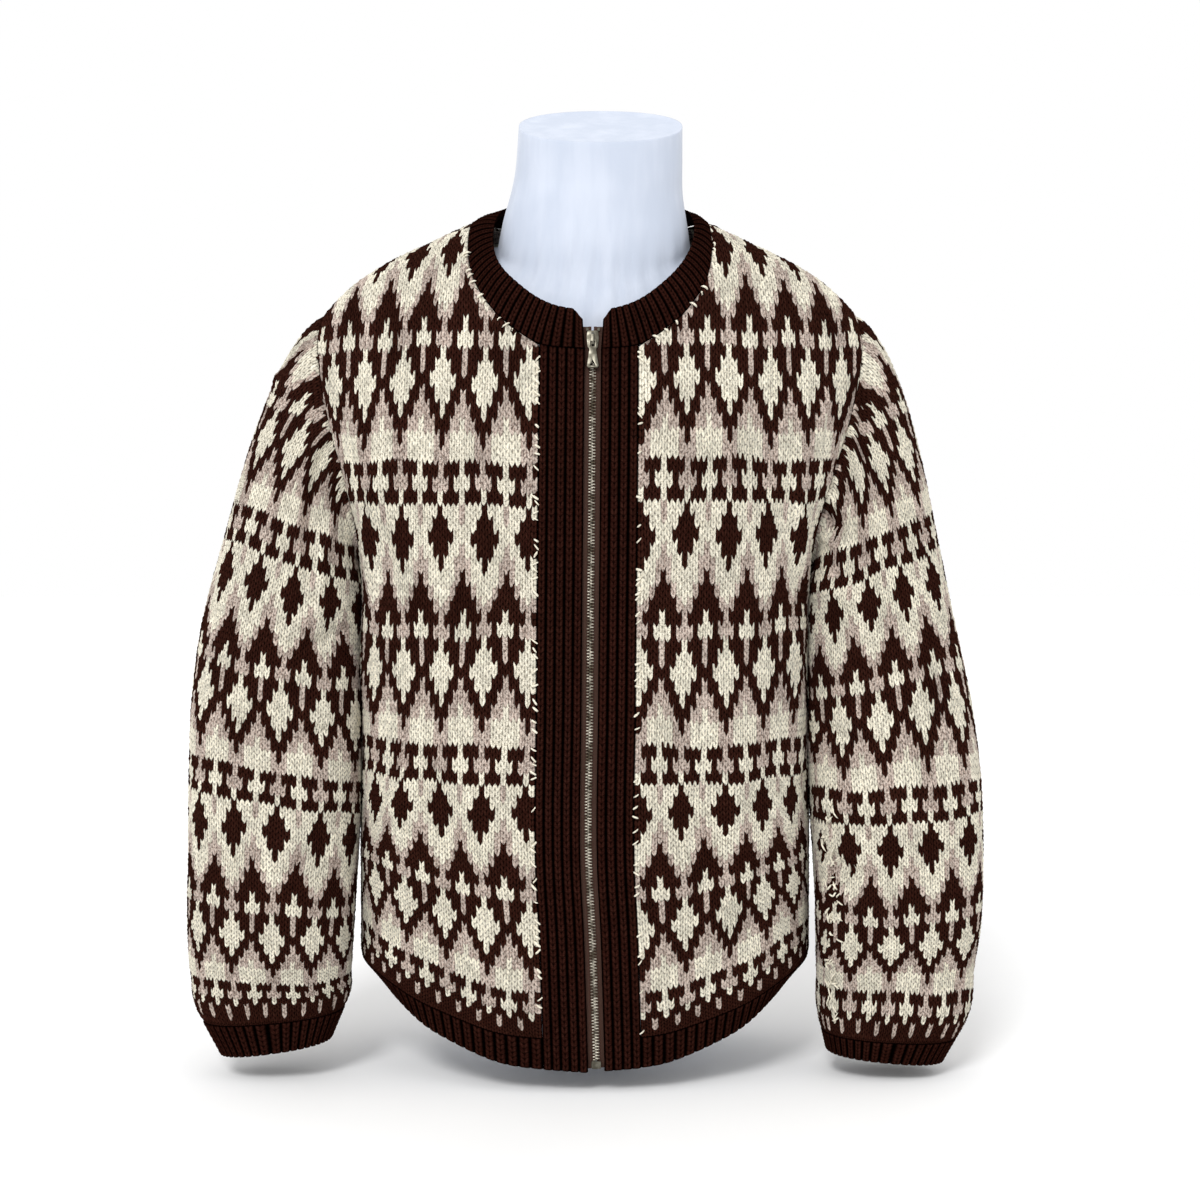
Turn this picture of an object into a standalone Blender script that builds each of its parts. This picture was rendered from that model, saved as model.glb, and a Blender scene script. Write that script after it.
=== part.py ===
"""Zip-front knitted cardigan on a limbless dress form, worked out from named sizes in millimetres."""

import math

import bmesh
import bpy
import numpy as np

MM = 0.001
SEAM = 0.3

# Wall thicknesses and relief of the ribs
KNIT_WALL = 3.0
RIB_WALL = 4.0
RIB_RELIEF = 1.1
NECK_RIBS = 84

# The garment body, by level above the floor
BODY = {
    "level": (24, 120, 200, 300, 380, 436, 468, 508, 556, 603, 641, 700, 760),
    "half_width": (199, 199, 199, 198, 198, 199, 206, 219, 234, 246, 251, 252, 252),
    "centre": (-4.5, -4.5, -4.5, -4.5, -4.5, -4, -3, -2, -1, 0, 0, 0, 0),
    "front": (124, 127, 129, 130, 131, 132, 132, 132, 131, 129, 127, 124, 120),
    "back": (112, 113, 114, 113, 115, 119, 121, 123, 124, 124, 124, 121, 118),
}
SQUARENESS = 2.4
SHOULDER_ROUND = {-1: 232.0, 1: 160.0}
RIDGE = {
    "out": (0, 40, 75, 104, 140, 180, 210, 236, 260),
    "level": (770, 766, 757, 743, 726, 707, 687.5, 661.5, 628),
}

# The hem, by angle round the body from the centre front
HEM_LEVEL = 17.0
HEM_RIB_TOP = 44.0
HEM = {
    "angle": (0, 20, 40, 60, 90, 130, 180),
    "lift": (0, 5, 22, 41, 52, 46, 37),
    "tuck": (0, 0.1, 0.3, 0.62, 1.0, 0.8, 0.6),
}
LIFT_FADE = 230.0

# The front opening, by level
ZIP = {
    "level": (24, 80, 139, 184, 330, 500, 634),
    "middle": (5.2, 3.6, 1.6, -0.8, -0.2, 1.3, 2.5),
}
BAND_INNER = 6.9
BAND_OUTER = {-1: 45.0, 1: 38.5}
BAND_RIBS = {-1: 5, 1: 4}
BAND_PROUD = 0.8
BAND_TOP = 625.0
OPENING_LEVELS = np.array([17, 64, 104, 144, 184, 225, 266, 307, 348, 389, 430, 470, 505, 537, 568, 598])

# The neck seam on the body surface and the free edge of the neckband
NECK = {
    "along": (0.0, 0.09, 0.17, 0.24, 0.32, 0.42, 0.51, 0.61, 0.69, 0.78, 0.89, 1.0),
    "out": (6.8, 40, 60, 77, 91, 102, 106, 104, 96, 75, 40, 0),
    "level": (626.5, 630, 641, 655, 672, 694, 717, 743, 744, 742, 739, 738),
    "top_out": (9, 31, 47, 61, 74, 84, 88, 87, 80, 63, 34, 0),
    "top_y": (-101, -99, -93, -85, -72, -49, -25, 3, 27, 47, 61, 67),
    "top_level": (660, 665, 673, 684, 697, 714, 731, 748, 759, 765, 768, 768),
}
NECK_SHIFT = 4.0
RIDGE_PLACE = 0.61

# The armhole edge of the body panels, from the shoulder tip down to the underarm
UNDERARM = 436.0
ARM_NODES = 1 - np.linspace(0, 1, 13) ** 0.9
ARMHOLE = {
    "along": (0.0, 0.12, 0.30, 0.50, 0.70, 0.85, 0.94, 1.0),
    "out": (236, 240, 236, 224, 210, 201, 198.6, 199),
    "level": (661.5, 642, 603, 556, 508, 468, 446, 436),
}

# The sleeves, by place from the underarm ring to the end of the cuff
SLEEVE_PLACES = (0.0, 0.2, 0.36, 0.5, 0.64, 0.79, 0.89, 0.95, 1.0)
CUFF_PLACE = {-1: 0.965, 1: 0.976}
SLEEVE = {
    -1: {
        "outer_x": (320, 342, 350.5, 352, 351.5, 351, 347.5, 342, 321),
        "outer_z": (476, 388, 318, 257, 190, 125, 85, 57, 18),
        "inner_x": (199, 200, 201, 202.5, 206.5, 209.5, 211, 212, 226),
        "inner_z": (424, 350, 285, 232, 170, 112, 84, 66, 31),
        "half_depth": (61, 62, 61, 59, 56, 54, 50, 46, 34),
        "y": (-7, -16, -22, -28, -36, -45, -50, -54, -60),
    },
    1: {
        "outer_x": (306, 322, 336, 344, 344.5, 341, 334.5, 330, 307),
        "outer_z": (470, 388, 318, 250, 190, 125, 88, 52, 11),
        "inner_x": (191, 191, 192, 195, 199, 200, 200, 200, 207),
        "inner_z": (422, 350, 285, 228, 168, 112, 82, 54, 20),
        "half_depth": (61, 62, 61, 59, 56, 54, 50, 46, 34),
        "y": (-7, -16, -22, -28, -36, -45, -50, -54, -60),
    },
}
SLEEVE_SQUARENESS = 2.35
SLEEVE_CLEAR = 1.6
CAP_PULL = 0.72
CUFF_RIBS = 44

# The zip
TAPE_OUT = 19.0
TAPE_IN = 3.5
TAPE_THICK = 0.9
CHAIN_HALF = 3.2
CHAIN_FRONT = 2.4
CHAIN_LOW = 26.0
CHAIN_TOP = 627.4
SLIDER_LOW = 628.0
SLIDER_TALL = 17.0
TAB_LONG = 26.4

# The dress form, by level
FORM = {
    "level": (0, 8, 60, 130, 210, 300, 390, 450, 520, 580, 625, 660, 690, 715),
    "half_width": (58, 62, 96, 146, 176, 172, 184, 190, 194, 197, 199, 200, 199, 196),
    "front": (52, 54, 74, 96, 108, 110, 118, 125.6, 126.2, 125.4, 123, 120.5, 118, 116),
    "back": (52, 54, 70, 90, 104, 98, 106, 113, 117.4, 118.4, 118.4, 118, 117, 115),
    "centre_y": (14, 14, 8, 2, 0, 0, 0, 0, 0, 0, 0, 0, 0, 0),
}
FORM_RIDGE = {
    "out": (0, 40, 70, 95, 112, 140, 180, 200, 260),
    "level": (708, 709, 712, 718, 723, 717.8, 698.4, 688, 622),
}
FORM_NECK = {
    "level": (640, 700, 730, 748, 768, 795, 812),
    "half_width": (96, 88, 82.5, 80, 77, 74, 73),
    "front": (66, 65, 63, 61, 58, 54, 52),
    "back": (60, 60, 59, 58, 56, 52, 50),
    "centre_x": (2, 3, 4, 4.5, 6, 8.5, 9.5),
    "centre_y": (0, 0, 0, 0, -2, -5, -6),
}
CAP_TILT = 0.42


def curve(table, column, by):
    """A smooth curve through one column of a table, as a function of another column."""
    xs = np.array(table[by], float)
    ys = np.array(table[column], float)
    slopes = np.gradient(ys, xs)

    def value(place):
        place = np.clip(place, xs[0], xs[-1])
        k = np.clip(np.searchsorted(xs, place) - 1, 0, len(xs) - 2)
        wide = xs[k + 1] - xs[k]
        t = (place - xs[k]) / wide
        start = (1 + 2 * t) * (1 - t) ** 2 * ys[k] + t * (1 - t) ** 2 * wide * slopes[k]
        end = t * t * (3 - 2 * t) * ys[k + 1] + t * t * (t - 1) * wide * slopes[k + 1]
        return start + end

    return value


half_width = curve(BODY, "half_width", "level")
centre = curve(BODY, "centre", "level")
depth = {-1: curve(BODY, "front", "level"), 1: curve(BODY, "back", "level")}
ridge = curve(RIDGE, "level", "out")
hem_lift = curve(HEM, "lift", "angle")
hem_tuck = curve(HEM, "tuck", "angle")
zip_middle = curve(ZIP, "middle", "level")
neck = {name: curve(NECK, name, "along") for name in NECK if name != "along"}
arm_out = curve(ARMHOLE, "out", "along")
arm_level = curve(ARMHOLE, "level", "along")


def smooth(value):
    """A soft step from 0 to 1."""
    value = np.clip(value, 0.0, 1.0)
    return value * value * (3 - 2 * value)


def stack(x, y, z):
    """Points of one shape from three coordinates."""
    return np.stack(np.broadcast_arrays(x, y, z), axis=-1).astype(float)


def drape(side, x, level):
    """How far slack cloth stands out from the plain form, in soft upright waves that fade to the chest."""
    slack = 1 - smooth((level - 250) / 240)
    edge = 1 - smooth((np.abs(x) - 130) / 60)
    opening = smooth((np.abs(x) - 40) / 50) if side < 0 else 1.0
    return 2.4 * slack * edge * opening * np.sin(x / 17.0 + side + level / 160.0)


def spread(side, x, level):
    """The depth of the body before the shoulders round it over, and how far the shoulders round it."""
    across = np.clip(np.abs((x - centre(level)) / half_width(level)), 0, 1)
    flat = (1 - across**SQUARENESS) ** (1 / SQUARENESS)
    below = (ridge(np.abs(x)) - level) / SHOULDER_ROUND[side]
    below = np.minimum(below, 1.0)
    return (depth[side](level) + drape(side, x, level)) * flat, below * (2 - below)


def raise_hem(side, x, y, level):
    """Lifts the hem towards the sides and turns its rib under."""
    across = np.clip((x - centre(level)) / half_width(level), -1, 1)
    angle = np.degrees(np.arcsin(np.abs(across)))
    angle = np.where(side < 0, angle, 180 - angle)
    fade = 1 - smooth((level - HEM_RIB_TOP) / LIFT_FADE)
    below = np.maximum(HEM_RIB_TOP - level, 0)
    tuck = hem_tuck(angle) * below
    z = level + hem_lift(angle) * fade + 0.42 * tuck
    shrink = 1 - 0.75 * tuck / half_width(level)
    return stack(centre(level) + (x - centre(level)) * shrink, y * shrink, z)


def body(side, x, level, out=0.0):
    """A point on the outside of the garment's body, moved out along its normal."""
    wide, round_over = spread(side, x, level)
    y = side * wide * np.sqrt(np.maximum(round_over, 0))
    point = raise_hem(side, x, y, level)
    if np.ndim(out) or out:
        point = point + body_normal(side, x, level) * np.asarray(out)[..., None]
    return point


def body_normal(side, x, level):
    """The outward normal of the body surface, from the slope of its own equation."""
    step = 0.4

    def field(x, level):
        wide, round_over = spread(side, x, level)
        return wide * wide * round_over

    wide, round_over = spread(side, x, level)
    y = side * wide * np.sqrt(np.maximum(round_over, 0))
    inner = x - np.sign(x - centre(level)) * step
    slope_x = (field(x, level) - field(inner, level)) / (x - inner + 1e-9)
    slope_z = (field(x, level + step) - field(x, level - step)) / (2 * step)
    normal = stack(-slope_x, 2 * y, -slope_z)
    normal /= np.maximum(np.linalg.norm(normal, axis=-1, keepdims=True), 1e-9)
    return normal


def x_at(across, level):
    """The place across the body at a share of its half width, -1 to 1."""
    return centre(level) + half_width(level) * across


def grid_normals(points, closed, inside):
    """Normals of a grid of points, turned away from a line of points inside it."""
    rows = np.gradient(points, axis=0)
    if closed:
        columns = (np.roll(points, -1, axis=1) - np.roll(points, 1, axis=1)) / 2
    else:
        columns = np.gradient(points, axis=1)
    normal = np.cross(columns, rows)
    normal /= np.maximum(np.linalg.norm(normal, axis=-1, keepdims=True), 1e-9)
    flip = np.sign(np.sum(normal * (points - inside), axis=-1).mean())
    return normal * flip


def material(name, colour, metallic, roughness):
    """A named Principled material."""
    made = bpy.data.materials.new(name)
    made.use_nodes = True
    shader = made.node_tree.nodes["Principled BSDF"]
    shader.inputs["Base Color"].default_value = (*colour, 1)
    shader.inputs["Metallic"].default_value = metallic
    shader.inputs["Roughness"].default_value = roughness
    return made


def add_object(name, points, faces, colour, metallic=0.0, roughness=0.9, soft=True):
    """One closed solid from points in millimetres, its faces turned outward."""
    mesh = bpy.data.meshes.new(name)
    work = bmesh.new()
    corners = [work.verts.new((p[0] * MM, p[1] * MM, p[2] * MM)) for p in points]
    for face in faces:
        work.faces.new([corners[i] for i in face])
    bmesh.ops.recalc_face_normals(work, faces=work.faces)
    for face in work.faces:
        face.smooth = soft
    work.to_mesh(mesh)
    work.free()
    mesh.materials.append(material(name, colour, metallic, roughness))
    made = bpy.data.objects.new(name, mesh)
    bpy.context.collection.objects.link(made)
    return made


def wall(name, outer, inner, closed, colour, roughness=0.9):
    """A cloth wall between two grids of points, its edges closed by rims."""
    rows, columns = outer.shape[:2]
    points = list(outer.reshape(-1, 3)) + list(inner.reshape(-1, 3))
    shift = rows * columns
    faces = []
    last = columns if closed else columns - 1
    for i in range(rows - 1):
        for j in range(last):
            a = i * columns + j
            b = i * columns + (j + 1) % columns
            c = b + columns
            d = a + columns
            faces.append((a, b, c, d))
            faces.append((a + shift, d + shift, c + shift, b + shift))
    for i in (0, rows - 1):
        for j in range(last):
            a = i * columns + j
            b = i * columns + (j + 1) % columns
            faces.append((a, b, b + shift, a + shift))
    if not closed:
        for j in (0, columns - 1):
            for i in range(rows - 1):
                a = i * columns + j
                b = a + columns
                faces.append((a, b, b + shift, a + shift))
    return add_object(name, points, faces, colour, 0.0, roughness)


def ribbed(columns, ribs):
    """Heights of ribs over columns of a wall, in the middle of each rib and none between."""
    place = np.linspace(0, ribs, columns)
    return 0.5 - 0.5 * np.cos(2 * math.pi * place)


BROWN = (0.043, 0.020, 0.016)
KNIT = (0.42, 0.36, 0.31)
TAPE = (0.075, 0.045, 0.035)
METAL = (0.50, 0.48, 0.42)
JERSEY = (0.86, 0.86, 0.90)


def neck_place(hand):
    """Where along the neck seam the outer edge of a front band meets it."""
    places = np.linspace(0, 0.3, 121)
    edge = abs(float(zip_middle(628.0)) + hand * BAND_OUTER[hand])
    return float(np.interp(edge, neck["out"](places), places))


def neck_nodes(hand):
    """Places along the neck seam where the panels have their corners, from a band round to the centre back."""
    front = np.linspace(neck_place(hand), RIDGE_PLACE, 8)
    return np.concatenate([front, np.linspace(RIDGE_PLACE, 1, 5)[1:]])


def neck_points(hand, along):
    """Points of the neck seam on the body, and the body's normals there."""
    front = along < RIDGE_PLACE
    x = hand * neck["out"](along)
    level = neck["level"](along)
    points = np.where(front[:, None], body(-1, x, level), body(1, x, level))
    normal = np.where(front[:, None], body_normal(-1, x, level), body_normal(1, x, level))
    return points, normal


def shoulder(hand, columns):
    """Places across and levels along the shoulder seam, from the neck to the tip."""
    out = np.linspace(104, 236, columns)
    return hand * out, ridge(out)


def patch(bottom, top, left, right):
    """A grid of pairs between four edges given as arrays of pairs."""
    s = np.linspace(0, 1, len(bottom))[None, :, None]
    t = np.linspace(0, 1, len(left))[:, None, None]
    corners = (1 - s) * (1 - t) * bottom[0] + s * (1 - t) * bottom[-1] + (1 - s) * t * top[0] + s * t * top[-1]
    sides = (1 - s) * left[:, None, :] + s * right[:, None, :]
    ends = (1 - t) * bottom[None, :, :] + t * top[None, :, :]
    return sides + ends - corners


def angle_at(x, level):
    """The turn round the body of a place across it."""
    return np.arcsin(np.clip((x - centre(level)) / half_width(level), -1, 1))


def pairs(x, level):
    """Turns and levels side by side."""
    return np.stack([angle_at(x, level), level + 0 * x], axis=-1)


def arm_pairs(hand):
    """The armhole edge from the underarm up to the shoulder tip."""
    level = arm_level(ARM_NODES)
    return pairs(centre(level) + hand * arm_out(ARM_NODES), level)


def lower_rows(side, hand, count, columns):
    """Turns and levels of a panel from the hem rib up to the underarm."""
    levels = HEM_RIB_TOP + SEAM / 2 + np.linspace(0, 1, count) ** 0.9 * (UNDERARM - HEM_RIB_TOP - SEAM / 2)
    rows = []
    for level in levels:
        start = -math.pi / 2
        stop = math.pi / 2
        if side < 0:
            near = zip_middle(level) + hand * (BAND_OUTER[hand] + SEAM / 2)
            start = float(angle_at(near, level))
            stop = hand * math.pi / 2
        rows.append(np.stack([np.linspace(start, stop, columns), np.full(columns, level)], axis=-1))
    return np.array(rows)


def panel(name, side, hand, low_count):
    """A front or back panel, a patch below the underarm and one above it."""
    if side < 0:
        nodes = neck_nodes(hand)[:8]
        straight = 5
        levels = np.linspace(UNDERARM, float(neck["level"](nodes[0])), straight + 1)[:-1]
        edge = zip_middle(levels) + hand * (BAND_OUTER[hand] + SEAM / 2)
        near_x = np.concatenate([edge, hand * neck["out"](nodes)])
        near_x[straight] = float(zip_middle(628.0)) + hand * (BAND_OUTER[hand] + SEAM / 2)
        left = pairs(near_x, np.concatenate([levels, neck["level"](nodes)]))
        top = pairs(*shoulder(hand, 11))
        right = arm_pairs(hand)
    else:
        nodes = neck_nodes(-1)[7:]
        out = neck["out"](nodes)
        level = neck["level"](nodes)
        tip_x, tip_level = shoulder(1, 7)
        top_x = np.concatenate([-tip_x[::-1], -out[1:], out[::-1][1:], tip_x[1:]])
        top_level = np.concatenate([tip_level[::-1], level[1:], level[::-1][1:], tip_level[1:]])
        top = pairs(top_x, top_level)
        left = arm_pairs(-1)
        right = arm_pairs(1)
    low = lower_rows(side, hand, low_count, len(top))
    high = patch(low[-1], top, left, right)
    grid = np.concatenate([low, high[1:]])
    level = grid[..., 1]
    x = x_at(np.sin(grid[..., 0]), level)
    outer = body(side, x, level)
    outer[..., 1] += side * SEAM / 2
    normal = body_normal(side, x, level)
    flat_seams(normal, x, level)
    wall(name, outer, outer - KNIT_WALL * normal, False, KNIT)


def flat_seams(normal, x, level):
    """Keeps the wall's normals square to the plane of the side and shoulder seams where cloth meets it."""
    across = np.abs((x - centre(level)) / half_width(level))
    at_side = (across > 0.9999) & (level < UNDERARM + 1)
    on_ridge = np.abs(level - ridge(np.abs(x))) < 0.01
    normal[at_side | on_ridge, 1] = 0
    normal /= np.linalg.norm(normal, axis=-1, keepdims=True)


def sleeve_curve(hand, name):
    """One column of a sleeve's table by place along it."""
    return curve({"place": SLEEVE_PLACES, name: SLEEVE[hand][name]}, name, "place")


def sleeve_ring(hand, place, turn):
    """Points round a sleeve: turn 0 at the outer side, a quarter turn at the front."""
    get = {name: sleeve_curve(hand, name)(place) for name in SLEEVE[hand]}
    outer = stack(hand * get["outer_x"], get["y"], get["outer_z"])
    inner = stack(hand * get["inner_x"], get["y"], get["inner_z"])
    power = 2 / SLEEVE_SQUARENESS
    across = np.sign(np.cos(turn)) * np.abs(np.cos(turn)) ** power
    forward = np.sign(np.sin(turn)) * np.abs(np.sin(turn)) ** power
    middle = (outer + inner) / 2
    reach = (outer - inner) / 2
    fold = 1 + 0.02 * np.sin(5 * turn + 9 * place) * smooth(place / 0.2) * (1 - smooth((place - 0.7) / 0.2))
    point = middle + reach * across[..., None]
    point[..., 1] -= get["half_depth"] * forward * fold
    return beside_body(hand, point)


def beside_body(hand, point):
    """Keeps a sleeve just clear of the side of the body, flattened where it lies against it."""
    level = point[..., 2]
    y = point[..., 1]
    deep = np.where(y < 0, depth[-1](level), depth[1](level))
    share = np.clip(np.abs(y) / deep, 0, 1) ** SQUARENESS
    side = centre(level) * hand + half_width(level) * (1 - share) ** (1 / SQUARENESS) + SLEEVE_CLEAR
    reach = point[..., 0] * hand
    over = side - reach
    soft = 1.5
    lifted = reach + soft * np.log1p(np.exp(np.clip(over / soft, -30, 30)))
    point[..., 0] = hand * np.where(level < UNDERARM + 6, lifted, reach)
    return point


def armhole_ring(hand, turn):
    """The armhole edge of the body and its normals, by the sleeve's turn, on the panels' own straight runs."""
    front = turn <= math.pi
    along = np.where(front, turn, 2 * math.pi - turn) / math.pi
    nodes = ARM_NODES[::-1]
    level = arm_level(nodes)
    x = centre(level) + hand * arm_out(nodes)
    points = np.zeros((len(turn), 3))
    normals = np.zeros((len(turn), 3))
    for side, mine in ((-1, front), (1, ~front)):
        edge = body(side, x, level)
        edge_normal = body_normal(side, x, level)
        for axis in range(3):
            points[mine, axis] = np.interp(along[mine], nodes, edge[:, axis])
            normals[mine, axis] = np.interp(along[mine], nodes, edge_normal[:, axis])
    return points, normals / np.linalg.norm(normals, axis=-1, keepdims=True)


def sleeve_cap(hand, turn, places):
    """The sleeve between the armhole edge and the first full ring, row by row."""
    edge, edge_normal = armhole_ring(hand, turn)
    ring = sleeve_ring(hand, 0.0, turn)
    below = sleeve_ring(hand, 0.02, turn)
    down = below - ring
    down /= np.linalg.norm(down, axis=-1, keepdims=True)
    away = ring - edge
    far = np.linalg.norm(away, axis=-1, keepdims=True)
    heading = away / far * 0.45 + np.array([hand * 0.55, 0, 0])
    low = smooth((480 - edge[:, 2:3]) / 40)
    heading = heading * (1 - low) + np.array([hand * 1.0, 0, 0.15]) * low
    heading /= np.linalg.norm(heading, axis=-1, keepdims=True)
    along = np.roll(edge, -1, axis=0) - np.roll(edge, 1, axis=0)
    aside = np.cross(along, edge_normal)
    aside *= np.sign(aside[:, :1] * hand) / np.linalg.norm(aside, axis=-1, keepdims=True)
    edge = edge + (aside * (1 - low) + np.array([0, 0, 1.0]) * low) * (SEAM + 0.1)
    rows = []
    for t in places:
        start = (1 + 2 * t) * (1 - t) ** 2 * edge + t * (1 - t) ** 2 * far * CAP_PULL * heading
        end = t * t * (3 - 2 * t) * ring + t * t * (t - 1) * far * CAP_PULL * down
        rows.append(start + end)
    return np.array(rows), edge_normal


def sleeve(hand, label, columns):
    """A sleeve wall from the armhole to the top of its cuff rib."""
    turn = np.linspace(0, 2 * math.pi, columns, endpoint=False)
    cap, edge_normal = sleeve_cap(hand, turn, np.array([0, 0.15, 0.35, 0.6, 0.82]))
    places = np.linspace(0, CUFF_PLACE[hand] - 0.0005, 10)
    rings = np.array([sleeve_ring(hand, place, turn) for place in places])
    outer = np.concatenate([cap, rings])
    inside = outer.mean(axis=1, keepdims=True)
    normal = grid_normals(outer, True, inside)
    high = smooth((outer[0, :, 2:3] - 520) / 80)
    normal[0] = normal[0] * (1 - high) + edge_normal * high
    normal[-1] = ring_normal(hand, turn)
    normal /= np.linalg.norm(normal, axis=-1, keepdims=True)
    wall("sleeve_" + label, outer, outer - KNIT_WALL * normal, True, KNIT)


def ring_normal(hand, turn):
    """Normals of a sleeve where its cuff begins."""
    rings = np.array([sleeve_ring(hand, CUFF_PLACE[hand] + step, turn) for step in (-0.004, 0.0, 0.004)])
    return grid_normals(rings, True, rings.mean(axis=1, keepdims=True))[1]


def cuff(hand, label):
    """A ribbed cuff below a sleeve."""
    columns = CUFF_RIBS * 2
    turn = np.linspace(0, 2 * math.pi, columns, endpoint=False)
    places = np.linspace(CUFF_PLACE[hand] + 0.0005, 1, 3)
    base = np.array([sleeve_ring(hand, place, turn) for place in places])
    inside = base.mean(axis=1, keepdims=True)
    normal = grid_normals(base, True, inside)
    normal[0] = ring_normal(hand, turn)
    height = (1 - np.cos(CUFF_RIBS * turn)) / 2
    outer = base + normal * (RIB_RELIEF * height[None, :, None])
    wall("cuff_" + label, outer, base - KNIT_WALL * normal, True, BROWN)


def hem(name, side, hand, ribs):
    """The hem rib below one panel."""
    columns = ribs * 2 + 1
    gap = SEAM / 2
    levels = np.array([HEM_LEVEL, HEM_RIB_TOP - 9, HEM_RIB_TOP - 3 * gap])
    x = []
    for level in levels:
        if side < 0:
            near = zip_middle(level) + hand * (BAND_OUTER[hand] + gap)
            start = math.asin(float((near - centre(level)) / half_width(level)))
            angles = np.linspace(start, hand * math.pi / 2, columns)
        else:
            angles = np.linspace(-math.pi / 2, math.pi / 2, columns)
        x.append(x_at(np.sin(angles), level))
    x = np.array(x)
    level = np.repeat(levels[:, None], columns, axis=1)
    base = body(side, x, level)
    base[..., 1] += side * gap
    normal = body_normal(side, x, level)
    flat_seams(normal, x, level)
    height = ribbed(columns, ribs)
    outer = base + normal * (RIB_RELIEF * height[None, :, None])
    wall(name, outer, base - RIB_WALL * normal, False, BROWN)


def front_strip(offset_in, offset_out, hand, levels, columns):
    """Places on the front between two distances from the zip's middle line."""
    share = np.linspace(0, 1, columns)
    level = np.repeat(levels[:, None], columns, axis=1)
    x = zip_middle(level) + hand * (offset_in + (offset_out - offset_in) * share[None, :])
    return x, level


def front_band(hand, label):
    """A ribbed band up the front, its ribs upright."""
    ribs = BAND_RIBS[hand]
    columns = ribs * 2 + 1
    levels = np.concatenate([OPENING_LEVELS, [612, BAND_TOP]])
    x, level = front_strip(BAND_INNER, BAND_OUTER[hand] - SEAM / 2, hand, levels, columns)
    places = np.linspace(0, 0.3, 61)
    rise = np.interp(np.abs(x[-1]), neck["out"](places), neck["level"](places)) - BAND_TOP - SEAM
    level = level + rise[None, :] * smooth((level - 560) / (BAND_TOP - 560))
    height = ribbed(columns, ribs)
    outer = body(-1, x, level, BAND_PROUD + RIB_RELIEF * height[None, :] + 0 * x)
    inner = body(-1, x, level, BAND_PROUD - RIB_WALL + 0 * x)
    wall("front_band_" + label, outer, inner, False, BROWN)


def zip_face(level):
    """How far out of the body surface the front of the zip's tape lies, deeper behind the neckband."""
    return BAND_PROUD - RIB_WALL - SEAM - 0.115 * np.maximum(level - 598, 0)


def zip_tape(hand, label):
    """The woven tape of the zip behind a front band."""
    levels = np.concatenate([[HEM_LEVEL + 2], OPENING_LEVELS[1:], [612, 624, 636, 649]])
    x, level = front_strip(TAPE_IN, TAPE_OUT, hand, levels, 3)
    outer = body(-1, x, level, zip_face(level))
    inner = body(-1, x, level, zip_face(level) - TAPE_THICK)
    wall("zip_tape_" + label, outer, inner, False, TAPE, 0.8)


def zip_chain():
    """The closed teeth of the zip as one strip, a ridge down its middle."""
    levels = np.concatenate([[CHAIN_LOW], OPENING_LEVELS[1:], [612, CHAIN_TOP]])
    share = np.linspace(-1, 1, 5)
    level = np.repeat(levels[:, None], 5, axis=1)
    x = zip_middle(level) + CHAIN_HALF * share[None, :]
    front = CHAIN_FRONT * np.array([0.7, 0.95, 1.0, 0.95, 0.7]) - 0.9
    outer = body(-1, x, level, zip_face(level) + front[None, :])
    inner = body(-1, x, level, zip_face(level) - TAPE_THICK)
    wall("zip_chain", outer, inner, False, METAL, 0.35)


def prism(outline, low, high, place):
    """Points and faces of an outline pushed from one distance to another; place puts three numbers in space."""
    count = len(outline)
    points = [place(u, v, low) for u, v in outline] + [place(u, v, high) for u, v in outline]
    faces = [tuple(range(count)), tuple(range(count, 2 * count))]
    for i in range(count):
        j = (i + 1) % count
        faces.append((i, j, j + count, i + count))
    return points, faces


def ring_prism(outer, inner, low, high, place):
    """A plate with one window: two outlines of as many points, pushed from one distance to another."""
    count = len(outer)
    points = []
    for reach in (low, high):
        points += [place(u, v, reach) for u, v in outer]
        points += [place(u, v, reach) for u, v in inner]
    faces = []
    for i in range(count):
        j = (i + 1) % count
        faces.append((i, j, j + count, i + count))
        faces.append((i + 2 * count, j + 2 * count, j + 3 * count, i + 3 * count))
        faces.append((i, j, j + 2 * count, i + 2 * count))
        faces.append((i + count, j + count, j + 3 * count, i + 3 * count))
    return points, faces


def rounded(corners, radius, steps=3):
    """An outline with its corners rounded."""
    made = []
    count = len(corners)
    for i in range(count):
        here = np.array(corners[i], float)
        before = np.array(corners[i - 1], float) - here
        after = np.array(corners[(i + 1) % count], float) - here
        cut = min(radius, np.linalg.norm(before) * 0.45, np.linalg.norm(after) * 0.45)
        start = here + before / np.linalg.norm(before) * cut
        stop = here + after / np.linalg.norm(after) * cut
        for k in range(steps + 1):
            t = k / steps
            made.append(tuple((1 - t) ** 2 * start + 2 * t * (1 - t) * here + t * t * stop))
    return made


def joined(name, pieces, colour, metallic, roughness):
    """One solid from overlapping solids."""
    base = add_object(name, *pieces[0], colour, metallic, roughness, False)
    for number, piece in enumerate(pieces[1:]):
        helper = add_object(name + "_helper_%d" % number, *piece, colour, metallic, roughness, False)
        helper.hide_render = True
        helper.display_type = "WIRE"
        union = base.modifiers.new("union_%d" % number, "BOOLEAN")
        union.operation = "UNION"
        union.solver = "EXACT"
        union.object = helper
    return base


def zip_frame():
    """The place and lean of the slider: its middle, its way up along the zip and its way forward."""
    level = SLIDER_LOW + SLIDER_TALL / 2
    x = float(zip_middle(level))
    levels = np.array([level - 7, level, level + 7])
    below, middle, above = body(-1, x + 0 * levels, levels, zip_face(levels))
    up = above - below
    up[0] = 0
    up /= np.linalg.norm(up)
    forward = np.array([0.0, -up[2], up[1]])
    return middle, up, forward


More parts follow.
